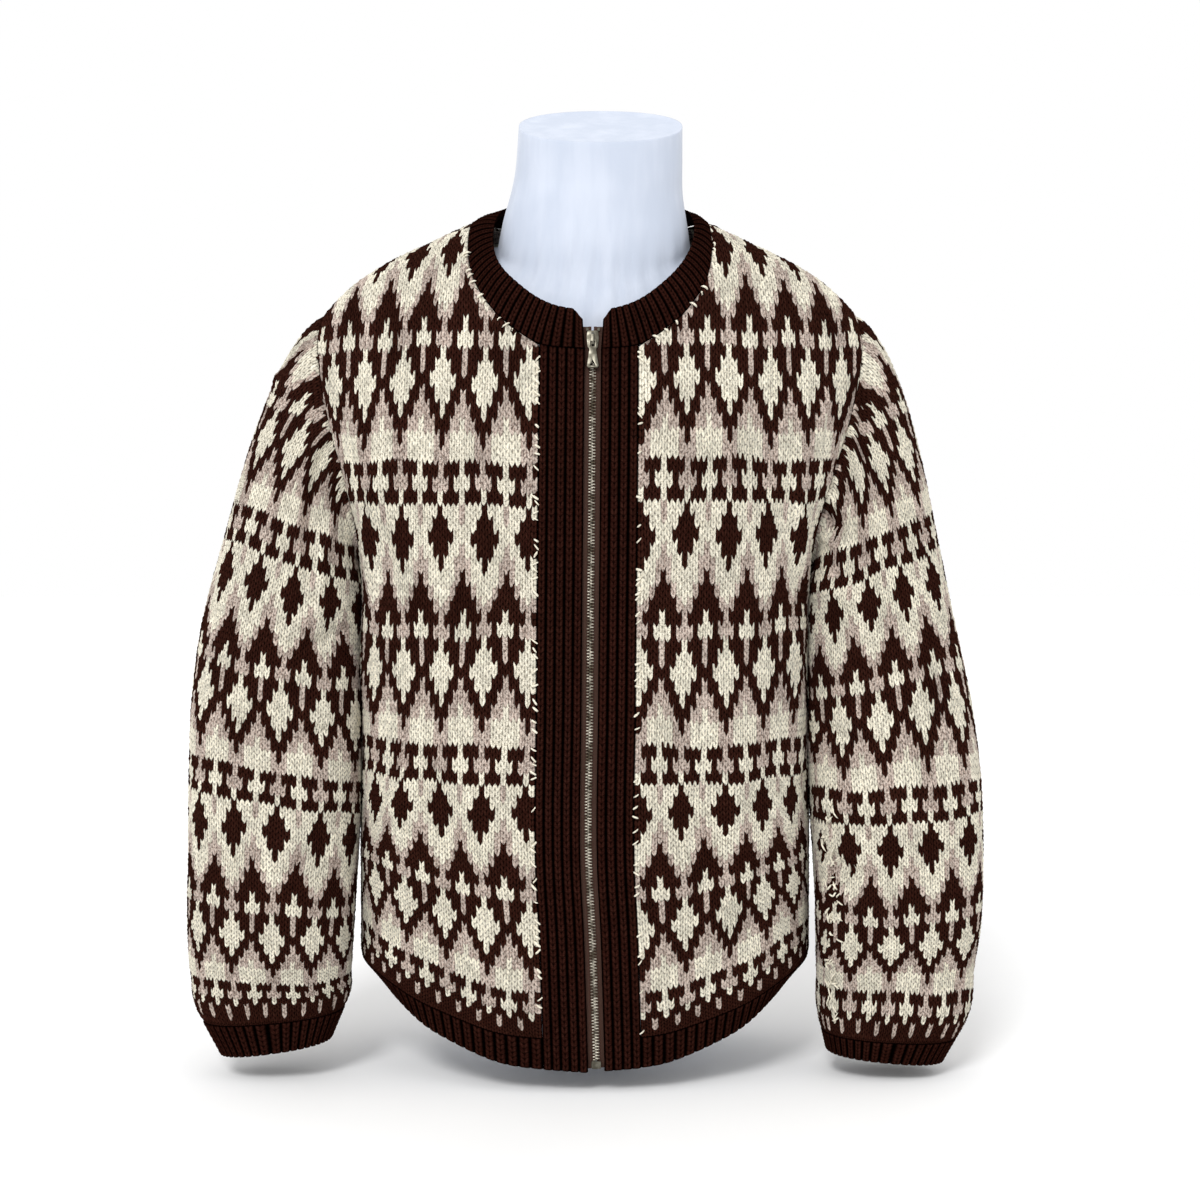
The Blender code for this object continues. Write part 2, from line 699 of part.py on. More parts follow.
def slider():
    """The slider: two plates joined by a post, with a bridge over the front plate."""
    middle, up, forward = zip_frame()
    half = SLIDER_TALL / 2

    def face_on(u, v, reach):
        return middle + np.array([u, 0, 0]) + v * up + reach * forward

    def side_on(u, v, reach):
        return middle + np.array([reach, 0, 0]) + v * up + u * forward

    plate = rounded([(-4.0, -half), (4.0, -half), (5.1, 1.0), (4.6, half), (-4.6, half), (-5.1, 1.0)], 2.2)
    gap_back = TAPE_THICK + SEAM
    back_plate = prism(plate, -gap_back - 1.2, -gap_back, face_on)
    front_plate = prism(plate, SEAM, SEAM + 1.5, face_on)
    post = prism(rounded([(-1.3, 1.0), (1.3, 1.0), (1.3, half - 1), (-1.3, half - 1)], 0.8), -gap_back - 0.6,
                 SEAM + 0.8, face_on)
    top = SEAM + 1.5
    bridge = [
        (top - 0.6, -6.4), (top + 2.6, -5.4), (top + 4.2, -3.2),
        (top + 4.2, 3.2), (top + 2.6, 5.4), (top - 0.6, 6.4),
        (top - 0.6, 4.9), (top + 1.9, 4.2), (top + 2.9, 2.4),
        (top + 2.9, -2.4), (top + 1.9, -4.2), (top - 0.6, -4.9),
    ]
    arch = prism(bridge, -1.1, 1.1, side_on)
    joined("zip_slider", [front_plate, back_plate, post, arch], METAL, 1.0, 0.42)


def pull_tab():
    """The pull tab: a flared plate with a window round the bridge and a three-sided hole at its foot."""
    middle, up, forward = zip_frame()
    reach = SEAM + 1.5 + 0.6
    thick = 1.4
    top = -0.5
    low = top - TAB_LONG

    def face_on(u, v, out):
        return middle + np.array([u, 0, 0]) + v * up + (reach + out) * forward

    window_low = -7.6
    neck_low = -10.5
    plate = [
        (-3.6, top), (3.6, top), (3.4, window_low), (2.9, neck_low), (4.9, low + 1.5), (3.9, low),
        (-3.9, low), (-4.9, low + 1.5), (-2.9, neck_low), (-3.4, window_low),
    ]
    window = [
        (-1.9, top - 1.6), (1.9, top - 1.6), (1.9, window_low + 0.6), (1.5, window_low), (0.9, window_low),
        (0.3, window_low), (-0.3, window_low), (-0.9, window_low), (-1.5, window_low), (-1.9, window_low + 0.6),
    ]
    points, faces = ring_prism(plate, window, 0.0, thick, face_on)
    base = add_object("zip_pull_tab", points, faces, METAL, 1.0, 0.42, False)
    hole = [(-2.6, low + 1.8), (2.6, low + 1.8), (0.0, low + 7.2)]
    cutter = add_object("zip_pull_tab_cutter", *prism(rounded(hole, 0.7), -2.0, thick + 2.0, face_on),
                        METAL, 1.0, 0.42, False)
    cutter.hide_render = True
    cutter.display_type = "WIRE"
    cut = base.modifiers.new("hole", "BOOLEAN")
    cut.operation = "DIFFERENCE"
    cut.solver = "EXACT"
    cut.object = cutter


def stops():
    """The top stops beside the end of the zip and the box that holds its foot."""
    level = SLIDER_LOW + SLIDER_TALL + 1.7
    for hand, label in ((-1, "left"), (1, "right")):
        x = float(zip_middle(level)) + hand * 5.0
        spot = body(-1, np.array(x), np.array(level), zip_face(np.array(level)))

        def face_on(u, v, reach):
            return spot + np.array([u, 0, v]) + reach * np.array([0, -1, 0.0])

        block = rounded([(-1.1, -1.3), (1.1, -1.3), (1.1, 1.3), (-1.1, 1.3)], 0.5)
        add_object("zip_top_stop_" + label, *prism(block, 0.9, 2.4, face_on), METAL, 1.0, 0.4, False)
    level = CHAIN_LOW - SEAM - 3.6
    spot = body(-1, np.array(float(zip_middle(level))), np.array(level), zip_face(np.array(level)))

    def box_on(u, v, reach):
        return spot + np.array([u, 0, v]) + reach * np.array([0, -1, 0.0])

    block = rounded([(-4.0, -3.2), (4.0, -3.2), (4.0, 3.2), (-4.0, 3.2)], 1.0)
    add_object("zip_bottom_box", *prism(block, SEAM + 0.3, 3.0, box_on), METAL, 1.0, 0.4, False)


def neckband():
    """The ribbed band round the neck, its front ends rounded."""
    columns = NECK_RIBS * 2 + 1
    along = np.linspace(-1, 1, columns)
    place = 1 - np.abs(along)
    hand = np.where(along < 0, -1, 1)
    seam = np.zeros((columns, 3))
    seam_normal = np.zeros((columns, 3))
    for which in (-1, 1):
        nodes = np.concatenate([[0.0], neck_nodes(which)])
        points, normals = neck_points(which, nodes)
        mine = hand == which
        for axis in range(3):
            seam[mine, axis] = np.interp(place[mine], nodes, points[:, axis])
            seam_normal[mine, axis] = np.interp(place[mine], nodes, normals[:, axis])
    shift = NECK_SHIFT * smooth((place - 0.3) / 0.3)
    ends = float(zip_middle(640.0)) * (1 - smooth(place / 0.08))
    seam[:, 0] += ends
    top = stack(hand * neck["top_out"](place) + shift + ends, neck["top_y"](place), neck["top_level"](place))
    end = 1 - smooth(place / 0.03)
    top = top - (top - seam) * (0.22 * end)[:, None]
    rise = top - seam
    rise /= np.linalg.norm(rise, axis=-1, keepdims=True)
    seam = seam + rise * 0.6
    rows = []
    for t in (0.0, 0.5, 1.0):
        bow = 4 * t * (1 - t)
        rows.append(seam + (top - seam) * t + seam_normal * (2.0 * bow))
    base = np.array(rows)
    middle = np.array([0.0, 0.0, 640.0])
    normal = grid_normals(base, False, middle)
    normal[0] = seam_normal / np.linalg.norm(seam_normal, axis=-1, keepdims=True)
    height = ribbed(columns, NECK_RIBS)
    taper = np.array([1.0, 1.0, 0.4])
    outer = base + normal * (RIB_RELIEF * height[None, :] * taper[:, None])[..., None]
    wall("neckband", outer, base - RIB_WALL * normal, False, BROWN)


def form_radius(angle, level):
    """How far the dress form reaches from its middle line at an angle and level, found by halving."""
    get = {name: float(curve(FORM, name, "level")(level)) for name in FORM if name != "level"}
    cap = curve(FORM_RIDGE, "level", "out")
    side = -1 if math.sin(angle) < 0 else 1
    low = 0.0
    high = 260.0
    for _ in range(34):
        reach = (low + high) / 2
        x = reach * math.cos(angle)
        y = reach * math.sin(angle)
        below = min((float(cap(abs(x))) - level) / SHOULDER_ROUND[side], 1.0)
        deep = get["front"] if side < 0 else get["back"]
        deep *= math.sqrt(max(below * (2 - below), 0.0))
        filled = abs(x / get["half_width"]) ** 2.6
        filled += abs(y / deep) ** 2.4 if deep > 0.01 else 9.0
        if filled < 1:
            low = reach
        else:
            high = reach
    return (low + high) / 2


def dress_form():
    """The smooth limbless form: a flat foot, hips, chest, shoulders, neck and a tilted cap."""
    columns = 30
    angles = [2 * math.pi * k / columns for k in range(columns)]
    levels = [0, 8, 50, 95, 145, 210, 300, 390, 455, 520, 580, 620, 645, 665, 682, 696, 708, 718, 727]
    rings = []
    get = {name: curve(FORM_NECK, name, "level") for name in FORM_NECK if name != "level"}
    middle_y = curve(FORM, "centre_y", "level")
    for level in levels + [740, 752, 768, 785, 802, 812]:
        ring = []
        for angle in angles:
            side_depth = float(get["front"](level) if math.sin(angle) < 0 else get["back"](level))
            wide = float(get["half_width"](level))
            power = 2.2
            neck_reach = (abs(math.cos(angle) / wide) ** power + abs(math.sin(angle) / side_depth) ** power)
            neck_reach **= -1 / power
            reach = neck_reach
            if level < 735:
                trunk = form_radius(angle, level)
                join = float(smooth((level - 600) / 60))
                mixed = (trunk**6 + (join * neck_reach) ** 6) ** (1 / 6)
                reach = mixed
            high = float(smooth((level - 640) / 90))
            x = reach * math.cos(angle) + float(get["centre_x"](level)) * high
            y = reach * math.sin(angle) + float(get["centre_y"](level)) * high + float(middle_y(level))
            tilt = CAP_TILT * float(smooth((level - 752) / 55))
            ring.append((x, y, level + tilt * (y + 8) + 16 * float(smooth((level - 785) / 27))))
        rings.append(ring)
    points = [p for ring in rings for p in ring]
    faces = []
    for i in range(len(rings) - 1):
        for j in range(columns):
            k = (j + 1) % columns
            faces.append((i * columns + j, i * columns + k, (i + 1) * columns + k, (i + 1) * columns + j))
    faces.append(tuple(range(columns)))
    top = (len(rings) - 1) * columns
    faces.append(tuple(range(top, top + columns)))
    add_object("dress_form", points, faces, JERSEY, 0.0, 0.75)


def main():
    for old in list(bpy.data.objects):
        bpy.data.objects.remove(old, do_unlink=True)
    dress_form()
    panel("front_left", -1, -1, 10)
    panel("front_right", -1, 1, 10)
    panel("back", 1, 0, 10)
    for hand, label in ((-1, "left"), (1, "right")):
        sleeve(hand, label, 20)
        cuff(hand, label)
        hem("hem_" + label, -1, hand, 26)
        front_band(hand, label)
        zip_tape(hand, label)
    hem("hem_back", 1, 0, 56)
    neckband()
    zip_chain()
    slider()
    pull_tab()
    stops()


main()
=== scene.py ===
"""Looks of the knitted cardigan on its dress form: stitches, ribs, zip teeth, jersey, light and camera."""

import math

import bmesh
import bpy
import numpy as np
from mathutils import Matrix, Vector


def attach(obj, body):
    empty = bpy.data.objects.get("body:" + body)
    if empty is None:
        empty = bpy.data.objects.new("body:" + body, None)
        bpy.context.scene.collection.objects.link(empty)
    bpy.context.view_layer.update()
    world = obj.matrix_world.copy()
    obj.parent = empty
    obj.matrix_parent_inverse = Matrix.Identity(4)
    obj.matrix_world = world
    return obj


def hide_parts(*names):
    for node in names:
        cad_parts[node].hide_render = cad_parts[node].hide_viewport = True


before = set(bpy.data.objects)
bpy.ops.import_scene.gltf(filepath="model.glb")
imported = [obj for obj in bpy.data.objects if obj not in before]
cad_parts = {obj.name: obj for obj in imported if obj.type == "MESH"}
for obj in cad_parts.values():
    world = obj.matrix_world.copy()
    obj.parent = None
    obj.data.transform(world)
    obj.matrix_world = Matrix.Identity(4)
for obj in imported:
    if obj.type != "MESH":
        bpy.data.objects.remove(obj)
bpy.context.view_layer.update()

MM = 0.001
SEAM = 0.3
CLOTH = "cardigan"

# Camera, from the photograph's frame of 1200 by 1200 pixels
FRAME_PIXELS = 1200
FOCAL_PIXELS = 2160
EYE = (0.0, -1930.0, 542.0)
RISE_PIXELS = 75
SHIFT_PIXELS = 75
SIDE_PIXELS = 10

# Thickness of the cloth and relief of its ribs and stitches
KNIT_WALL = 3.0
RIB_WALL = 4.0
RIB_RELIEF = 1.1
STITCH_RELIEF = 1.5

# The garment body, by level above the floor, in millimetres
BODY = {
    "level": (24, 120, 200, 300, 380, 436, 468, 508, 556, 603, 641, 700, 760),
    "half_width": (199, 199, 199, 198, 198, 199, 206, 219, 234, 246, 251, 252, 252),
    "centre": (-4.5, -4.5, -4.5, -4.5, -4.5, -4, -3, -2, -1, 0, 0, 0, 0),
    "front": (124, 127, 129, 130, 131, 132, 132, 132, 131, 129, 127, 124, 120),
    "back": (112, 113, 114, 113, 115, 119, 121, 123, 124, 124, 124, 121, 118),
}
SQUARENESS = 2.4
SHOULDER_ROUND = {-1: 232.0, 1: 160.0}
RIDGE = {
    "out": (0, 40, 75, 104, 140, 180, 210, 236, 260),
    "level": (770, 766, 757, 743, 726, 707, 687.5, 661.5, 628),
}
HEM_LEVEL = 17.0
HEM_RIB_TOP = 44.0
HEM = {
    "angle": (0, 20, 40, 60, 90, 130, 180),
    "lift": (0, 5, 22, 41, 52, 46, 37),
    "tuck": (0, 0.1, 0.3, 0.62, 1.0, 0.8, 0.6),
}
LIFT_FADE = 230.0
ZIP = {
    "level": (24, 80, 139, 184, 330, 500, 634),
    "middle": (5.2, 3.6, 1.6, -0.8, -0.2, 1.3, 2.5),
}
BAND_INNER = 6.9
BAND_OUTER = {-1: 45.0, 1: 38.5}
BAND_RIBS = {-1: 5, 1: 4}
BAND_PROUD = 0.8
BAND_TOP = 625.0
NECK = {
    "along": (0.0, 0.09, 0.17, 0.24, 0.32, 0.42, 0.51, 0.61, 0.69, 0.78, 0.89, 1.0),
    "out": (6.8, 40, 60, 77, 91, 102, 106, 104, 96, 75, 40, 0),
    "level": (626.5, 630, 641, 655, 672, 694, 717, 743, 744, 742, 739, 738),
    "top_out": (9, 31, 47, 61, 74, 84, 88, 87, 80, 63, 34, 0),
    "top_y": (-101, -99, -93, -85, -72, -49, -25, 3, 27, 47, 61, 67),
    "top_level": (660, 665, 673, 684, 697, 714, 731, 748, 759, 765, 768, 768),
}
NECK_SHIFT = 4.0
RIDGE_PLACE = 0.61
NECK_RIBS = 84
UNDERARM = 436.0
ARMHOLE = {
    "along": (0.0, 0.12, 0.30, 0.50, 0.70, 0.85, 0.94, 1.0),
    "out": (236, 240, 236, 224, 210, 201, 198.6, 199),
    "level": (661.5, 642, 603, 556, 508, 468, 446, 436),
}
SLEEVE_PLACES = (0.0, 0.2, 0.36, 0.5, 0.64, 0.79, 0.89, 0.95, 1.0)
CUFF_PLACE = {-1: 0.965, 1: 0.976}
SLEEVE = {
    -1: {
        "outer_x": (320, 342, 350.5, 352, 351.5, 351, 347.5, 342, 321),
        "outer_z": (476, 388, 318, 257, 190, 125, 85, 57, 18),
        "inner_x": (199, 200, 201, 202.5, 206.5, 209.5, 211, 212, 226),
        "inner_z": (424, 350, 285, 232, 170, 112, 84, 66, 31),
        "half_depth": (61, 62, 61, 59, 56, 54, 50, 46, 34),
        "y": (-7, -16, -22, -28, -36, -45, -50, -54, -60),
    },
    1: {
        "outer_x": (306, 322, 336, 344, 344.5, 341, 334.5, 330, 307),
        "outer_z": (470, 388, 318, 250, 190, 125, 88, 52, 11),
        "inner_x": (191, 191, 192, 195, 199, 200, 200, 200, 207),
        "inner_z": (422, 350, 285, 228, 168, 112, 82, 54, 20),
        "half_depth": (61, 62, 61, 59, 56, 54, 50, 46, 34),
        "y": (-7, -16, -22, -28, -36, -45, -50, -54, -60),
    },
}
SLEEVE_SQUARENESS = 2.35
SLEEVE_CLEAR = 1.6
CAP_PULL = 0.72
CUFF_RIBS = 44
FRONT_HEM_RIBS = 26
BACK_HEM_RIBS = 56
EDGE_ROWS = 6
BAND_ROWS = 111
NECK_ROWS = 9

# The knitting: stitch and row sizes, and rows of the chart counted up from the cross band on the chest
PITCH = 4.75
CHEST_BAND = {-1: 513.5, 0: 514.0, 1: 516.0}
LOW_ROWS = {"level": (17, 44, 68.5, 276), "row": (-100, -92, -84, -42)}
CHEST_ROW = 6.15
SHOULDER_ROW = 7.0
SHOULDER_FROM = 20.0
CAP_ROW = 5.6
SLEEVE_STITCHES = 94
SLEEVE_ROWS = {
    -1: {
        "place": (0, 0.484, 0.912, 0.965),
        "outer": (-1.2, -42, -84, -91.3),
        "inner": (-2.8, -42, -83.6, -91.3),
    },
    1: {
        "place": (0, 0.51, 0.937, 0.976),
        "outer": (-0.6, -40.7, -83.3, -91.3),
        "inner": (-1.1, -43.6, -84.9, -91.3),
    },
}
# The column on which a diamond stands, counted from the outer side of each sleeve towards the front
SLEEVE_AXIS = {-1: 1, 1: 2}
SLEEVE_SEAM = {-1: 47, 1: 41}

# Creases as x and z of both ends, half the width and the height, a trough below nothing, in millimetres
FRONT_CREASES = (
    (-176, 532, -187, 404, 6.5, 3.6), (-163, 512, -171, 436, 5.5, -0.9), (-192, 396, -184, 300, 8, 2.2),
    (181, 540, 190, 420, 6.5, 3.2), (170, 520, 174, 452, 5, -0.9), (186, 392, 180, 310, 8, 1.8),
    (-206, 588, -192, 536, 5, 2.2), (208, 596, 193, 540, 5, 2.4), (-150, 300, -158, 190, 9, 2.4),
    (-118, 250, -112, 150, 8, -2.2), (128, 270, 136, 160, 9, 2.4), (150, 210, 144, 120, 7, -2.0),
    (-62, 200, -66, 110, 7, 1.6), (84, 180, 80, 100, 8, 1.6),
    (-120, 672, -168, 640, 7, 1.6), (126, 668, 170, 634, 7, 1.4),
)
BACK_CREASES = (
    (-178, 540, -188, 410, 7, 3.4), (182, 530, 190, 400, 7, 3.4), (-120, 420, -150, 300, 9, 2.6),
    (110, 400, 146, 290, 9, 2.4), (-60, 300, -70, 170, 8, -2.2), (40, 320, 52, 180, 9, 2.6),
    (-140, 250, -134, 140, 8, 2.4), (140, 230, 132, 130, 8, 2.0), (-20, 250, -14, 130, 8, 1.8),
    (-100, 640, -30, 662, 8, 1.8), (100, 640, 34, 658, 8, 1.6),
    (-205, 600, -190, 540, 5, 2.4), (206, 590, 191, 532, 5, 2.2),
)
SLEEVE_CREASES = {
    -1: ((-229, 556, -243, 430, 4.5, -5.0), (-239, 548, -252, 438, 5, 3.2), (-219, 500, -232, 396, 5, 3.4),
         (-218, 408, -262, 386, 6, 3.0), (-216, 384, -252, 366, 5, -3.6), (-220, 350, -300, 330, 8, 2.6),
         (-222, 300, -262, 288, 6, -3.4), (-226, 236, -300, 250, 8, 2.4), (-226, 170, -270, 182, 6, -3.0),
         (-330, 310, -290, 290, 7, 2.4), (-240, 110, -310, 96, 7, 2.2), (-300, 620, -262, 600, 8, 2.2)),
    1: ((243, 610, 248, 476, 4.5, -4.6), (234, 600, 238, 500, 5, 3.4), (200, 508, 228, 486, 4, 3.6),
        (200, 490, 224, 472, 3.6, -4.2), (202, 470, 226, 452, 4, 3.4), (208, 440, 250, 424, 5, -3.0),
        (206, 420, 262, 404, 6, 3.0), (208, 356, 290, 336, 8, 2.4), (206, 300, 250, 290, 6, -3.4),
        (208, 236, 290, 252, 8, 2.6), (206, 190, 246, 176, 5, -3.4), (212, 160, 262, 140, 6, 2.8),
        (318, 300, 286, 286, 7, 2.2), (212, 100, 280, 86, 7, 2.2)),
}
# Loose loops of yarn along the right sleeve's seam
PULLED_LOOPS = 46
# How many times their listed heights creases stand
CREASE_HEIGHT = 1.5
# How far stitches stray from their places, in stitches, and the slow waves in which rows and columns waver
LOOSE = 0.05
WAVES = ((2, 0.11), (-3, 0.07), (5, 0.19), (-7, 0.31))

# One repeat of the pattern: each line is two knitted rows, top to bottom, from the diamond's axis out to
# half the repeat: cream, taupe and dark brown
CHART = (
    "CCCTD", "CCTDD", "CTDDD", "TDDDC", "TTDCC", "CDDDT", "CCDDT", "CCCDD", "CCDDT", "CDDTT", "DDTTC",
    "DTCCC", "TTCCC", "TDDDC", "TTDCC", "CDDDC", "DCCCT", "DDCCT", "DDDCC", "DDCCT", "DCCTT",
)
CHART_BAND = 14
SHADES = "CTD"
LAST_ROWS = {-88: "..T..", -89: "..T..", -90: "..T..", -91: "....."}


def curve(table, column, by):
    """A smooth curve through one column of a table, as a function of another column."""
    xs = np.array(table[by], float)
    ys = np.array(table[column], float)
    slopes = np.gradient(ys, xs)

    def value(place):
        place = np.clip(place, xs[0], xs[-1])
        k = np.clip(np.searchsorted(xs, place) - 1, 0, len(xs) - 2)
        wide = xs[k + 1] - xs[k]
        t = (place - xs[k]) / wide
        start = (1 + 2 * t) * (1 - t) ** 2 * ys[k] + t * (1 - t) ** 2 * wide * slopes[k]
        end = t * t * (3 - 2 * t) * ys[k + 1] + t * t * (t - 1) * wide * slopes[k + 1]
        return start + end

    return value


half_width = curve(BODY, "half_width", "level")
centre = curve(BODY, "centre", "level")
depth = {-1: curve(BODY, "front", "level"), 1: curve(BODY, "back", "level")}
ridge = curve(RIDGE, "level", "out")
hem_lift = curve(HEM, "lift", "angle")
hem_tuck = curve(HEM, "tuck", "angle")
zip_middle = curve(ZIP, "middle", "level")
neck = {name: curve(NECK, name, "along") for name in NECK if name != "along"}
arm_out = curve(ARMHOLE, "out", "along")
arm_level = curve(ARMHOLE, "level", "along")


def smooth(value):
    """A soft step from 0 to 1."""
    value = np.clip(value, 0.0, 1.0)
    return value * value * (3 - 2 * value)


def stack(x, y, z):
    """Points of one shape from three coordinates."""
    return np.stack(np.broadcast_arrays(x, y, z), axis=-1).astype(float)


def unit(vectors):
    """Vectors of length one."""
    return vectors / np.maximum(np.linalg.norm(vectors, axis=-1, keepdims=True), 1e-9)


def drape(side, x, level):
    """How far slack cloth stands out from the plain form, in soft upright waves that fade to the chest."""
    slack = 1 - smooth((level - 250) / 240)
    edge = 1 - smooth((np.abs(x) - 130) / 60)
    opening = smooth((np.abs(x) - 40) / 50) if side < 0 else 1.0
    return 2.4 * slack * edge * opening * np.sin(x / 17.0 + side + level / 160.0)


def spread(side, x, level):
    """The depth of the body before the shoulders round it over, and how far the shoulders round it."""
    across = np.clip(np.abs((x - centre(level)) / half_width(level)), 0, 1)
    flat = (1 - across**SQUARENESS) ** (1 / SQUARENESS)
    below = np.minimum((ridge(np.abs(x)) - level) / SHOULDER_ROUND[side], 1.0)
    return (depth[side](level) + drape(side, x, level)) * flat, below * (2 - below)


def raise_hem(side, x, y, level):
    """Lifts the hem towards the sides and turns its rib under."""
    across = np.clip((x - centre(level)) / half_width(level), -1, 1)
    angle = np.degrees(np.arcsin(np.abs(across)))
    angle = np.where(side < 0, angle, 180 - angle)
    fade = 1 - smooth((level - HEM_RIB_TOP) / LIFT_FADE)
    below = np.maximum(HEM_RIB_TOP - level, 0)
    tuck = hem_tuck(angle) * below
    z = level + hem_lift(angle) * fade + 0.42 * tuck
    shrink = 1 - 0.75 * tuck / half_width(level)
    return stack(centre(level) + (x - centre(level)) * shrink, y * shrink, z)


def body(side, x, level, out=0.0):
    """A point on the outside of the garment's body, moved out along its normal."""
    wide, round_over = spread(side, x, level)
    y = side * wide * np.sqrt(np.maximum(round_over, 0))
    point = raise_hem(side, x, y, level)
    if np.ndim(out) or out:
        point = point + body_normal(side, x, level) * np.asarray(out)[..., None]
    return point


def body_normal(side, x, level):
    """The outward normal of the body surface, from the slope of its own equation."""
    step = 0.4

    def field(x, level):
        wide, round_over = spread(side, x, level)
        return wide * wide * round_over

    wide, round_over = spread(side, x, level)
    y = side * wide * np.sqrt(np.maximum(round_over, 0))
    inner = x - np.sign(x - centre(level)) * step
    slope_x = (field(x, level) - field(inner, level)) / (x - inner + 1e-9)
    slope_z = (field(x, level + step) - field(x, level - step)) / (2 * step)
    return unit(stack(-slope_x, 2 * y, -slope_z))


def sleeve_curve(hand, name):
    """One column of a sleeve's table by place along it."""
    return curve({"place": SLEEVE_PLACES, name: SLEEVE[hand][name]}, name, "place")


def beside_body(hand, point):
    """Keeps a sleeve just clear of the side of the body, flattened where it lies against it."""
    level = point[..., 2]
    y = point[..., 1]
    deep = np.where(y < 0, depth[-1](level), depth[1](level))
    share = np.clip(np.abs(y) / deep, 0, 1) ** SQUARENESS
    side = centre(level) * hand + half_width(level) * (1 - share) ** (1 / SQUARENESS) + SLEEVE_CLEAR
    reach = point[..., 0] * hand
    soft = 1.5
    lifted = reach + soft * np.log1p(np.exp(np.clip((side - reach) / soft, -30, 30)))
    point[..., 0] = hand * np.where(level < UNDERARM + 6, lifted, reach)
    return point


def sleeve_ring(hand, place, turn):
    """Points round a sleeve: turn 0 at the outer side, a quarter turn at the front."""
    get = {name: sleeve_curve(hand, name)(place) for name in SLEEVE[hand]}
    outer = stack(hand * get["outer_x"], get["y"], get["outer_z"])
    inner = stack(hand * get["inner_x"], get["y"], get["inner_z"])
    power = 2 / SLEEVE_SQUARENESS
    across = np.sign(np.cos(turn)) * np.abs(np.cos(turn)) ** power
    forward = np.sign(np.sin(turn)) * np.abs(np.sin(turn)) ** power
    fold = 1 + 0.02 * np.sin(5 * turn + 9 * place) * smooth(place / 0.2) * (1 - smooth((place - 0.7) / 0.2))
    point = (outer + inner) / 2 + (outer - inner) / 2 * across[..., None]
    point[..., 1] -= get["half_depth"] * forward * fold
    return beside_body(hand, point)


def armhole_ring(hand, turn):
    """The armhole edge of the body by the sleeve's turn, and the body's normals there."""
    front = turn <= math.pi
    along = np.where(front, turn, 2 * math.pi - turn) / math.pi
    level = arm_level(along)
    x = centre(level) + hand * arm_out(along)
    points = np.where(front[..., None], body(-1, x, level), body(1, x, level))
    normals = np.where(front[..., None], body_normal(-1, x, level), body_normal(1, x, level))
    return points, normals


def cap_ends(hand, turn):
    """Both ends of the sleeve cap's run at each turn, and how it leaves and arrives."""
    edge, edge_normal = armhole_ring(hand, turn)
    ring = sleeve_ring(hand, np.zeros_like(turn), turn)
    down = unit(sleeve_ring(hand, np.full_like(turn, 0.02), turn) - ring)
    away = ring - edge
    far = np.linalg.norm(away, axis=-1, keepdims=True)
    heading = away / far * 0.45 + np.array([hand * 0.55, 0, 0])
    low = smooth((480 - edge[:, 2:3]) / 40)
    heading = unit(heading * (1 - low) + np.array([hand * 1.0, 0, 0.15]) * low)
    along = np.roll(edge, -1, axis=0) - np.roll(edge, 1, axis=0)
    aside = unit(np.cross(along, edge_normal))
    aside = aside * np.sign(aside[:, :1] * hand)
    edge = edge + (aside * (1 - low) + np.array([0, 0, 1.0]) * low) * (SEAM + 0.1)
    return edge, heading, ring, down, far


def cap_point(ends, t):
    """A point of the sleeve cap, t from the armhole edge to the first full ring."""
    edge, heading, ring, down, far = ends
    start = (1 + 2 * t) * (1 - t) ** 2 * edge + t * (1 - t) ** 2 * far * CAP_PULL * heading
    end = t * t * (3 - 2 * t) * ring + t * t * (t - 1) * far * CAP_PULL * down
    return start + end


def table_value(table, rows, columns, at_row, at_column):
    """A value read between the lines of a table whose rows and columns are evenly spaced."""
    i = np.clip((at_row - rows[0]) / (rows[1] - rows[0]), 0, len(rows) - 1.001)
    j = np.clip((at_column - columns[0]) / (columns[1] - columns[0]), 0, len(columns) - 1.001)
    a = i.astype(int)
    b = j.astype(int)
    s = i - a
    t = j - b
    low = table[a, b] * (1 - t) + table[a, b + 1] * t
    high = table[a + 1, b] * (1 - t) + table[a + 1, b + 1] * t
    return low * (1 - s) + high * s


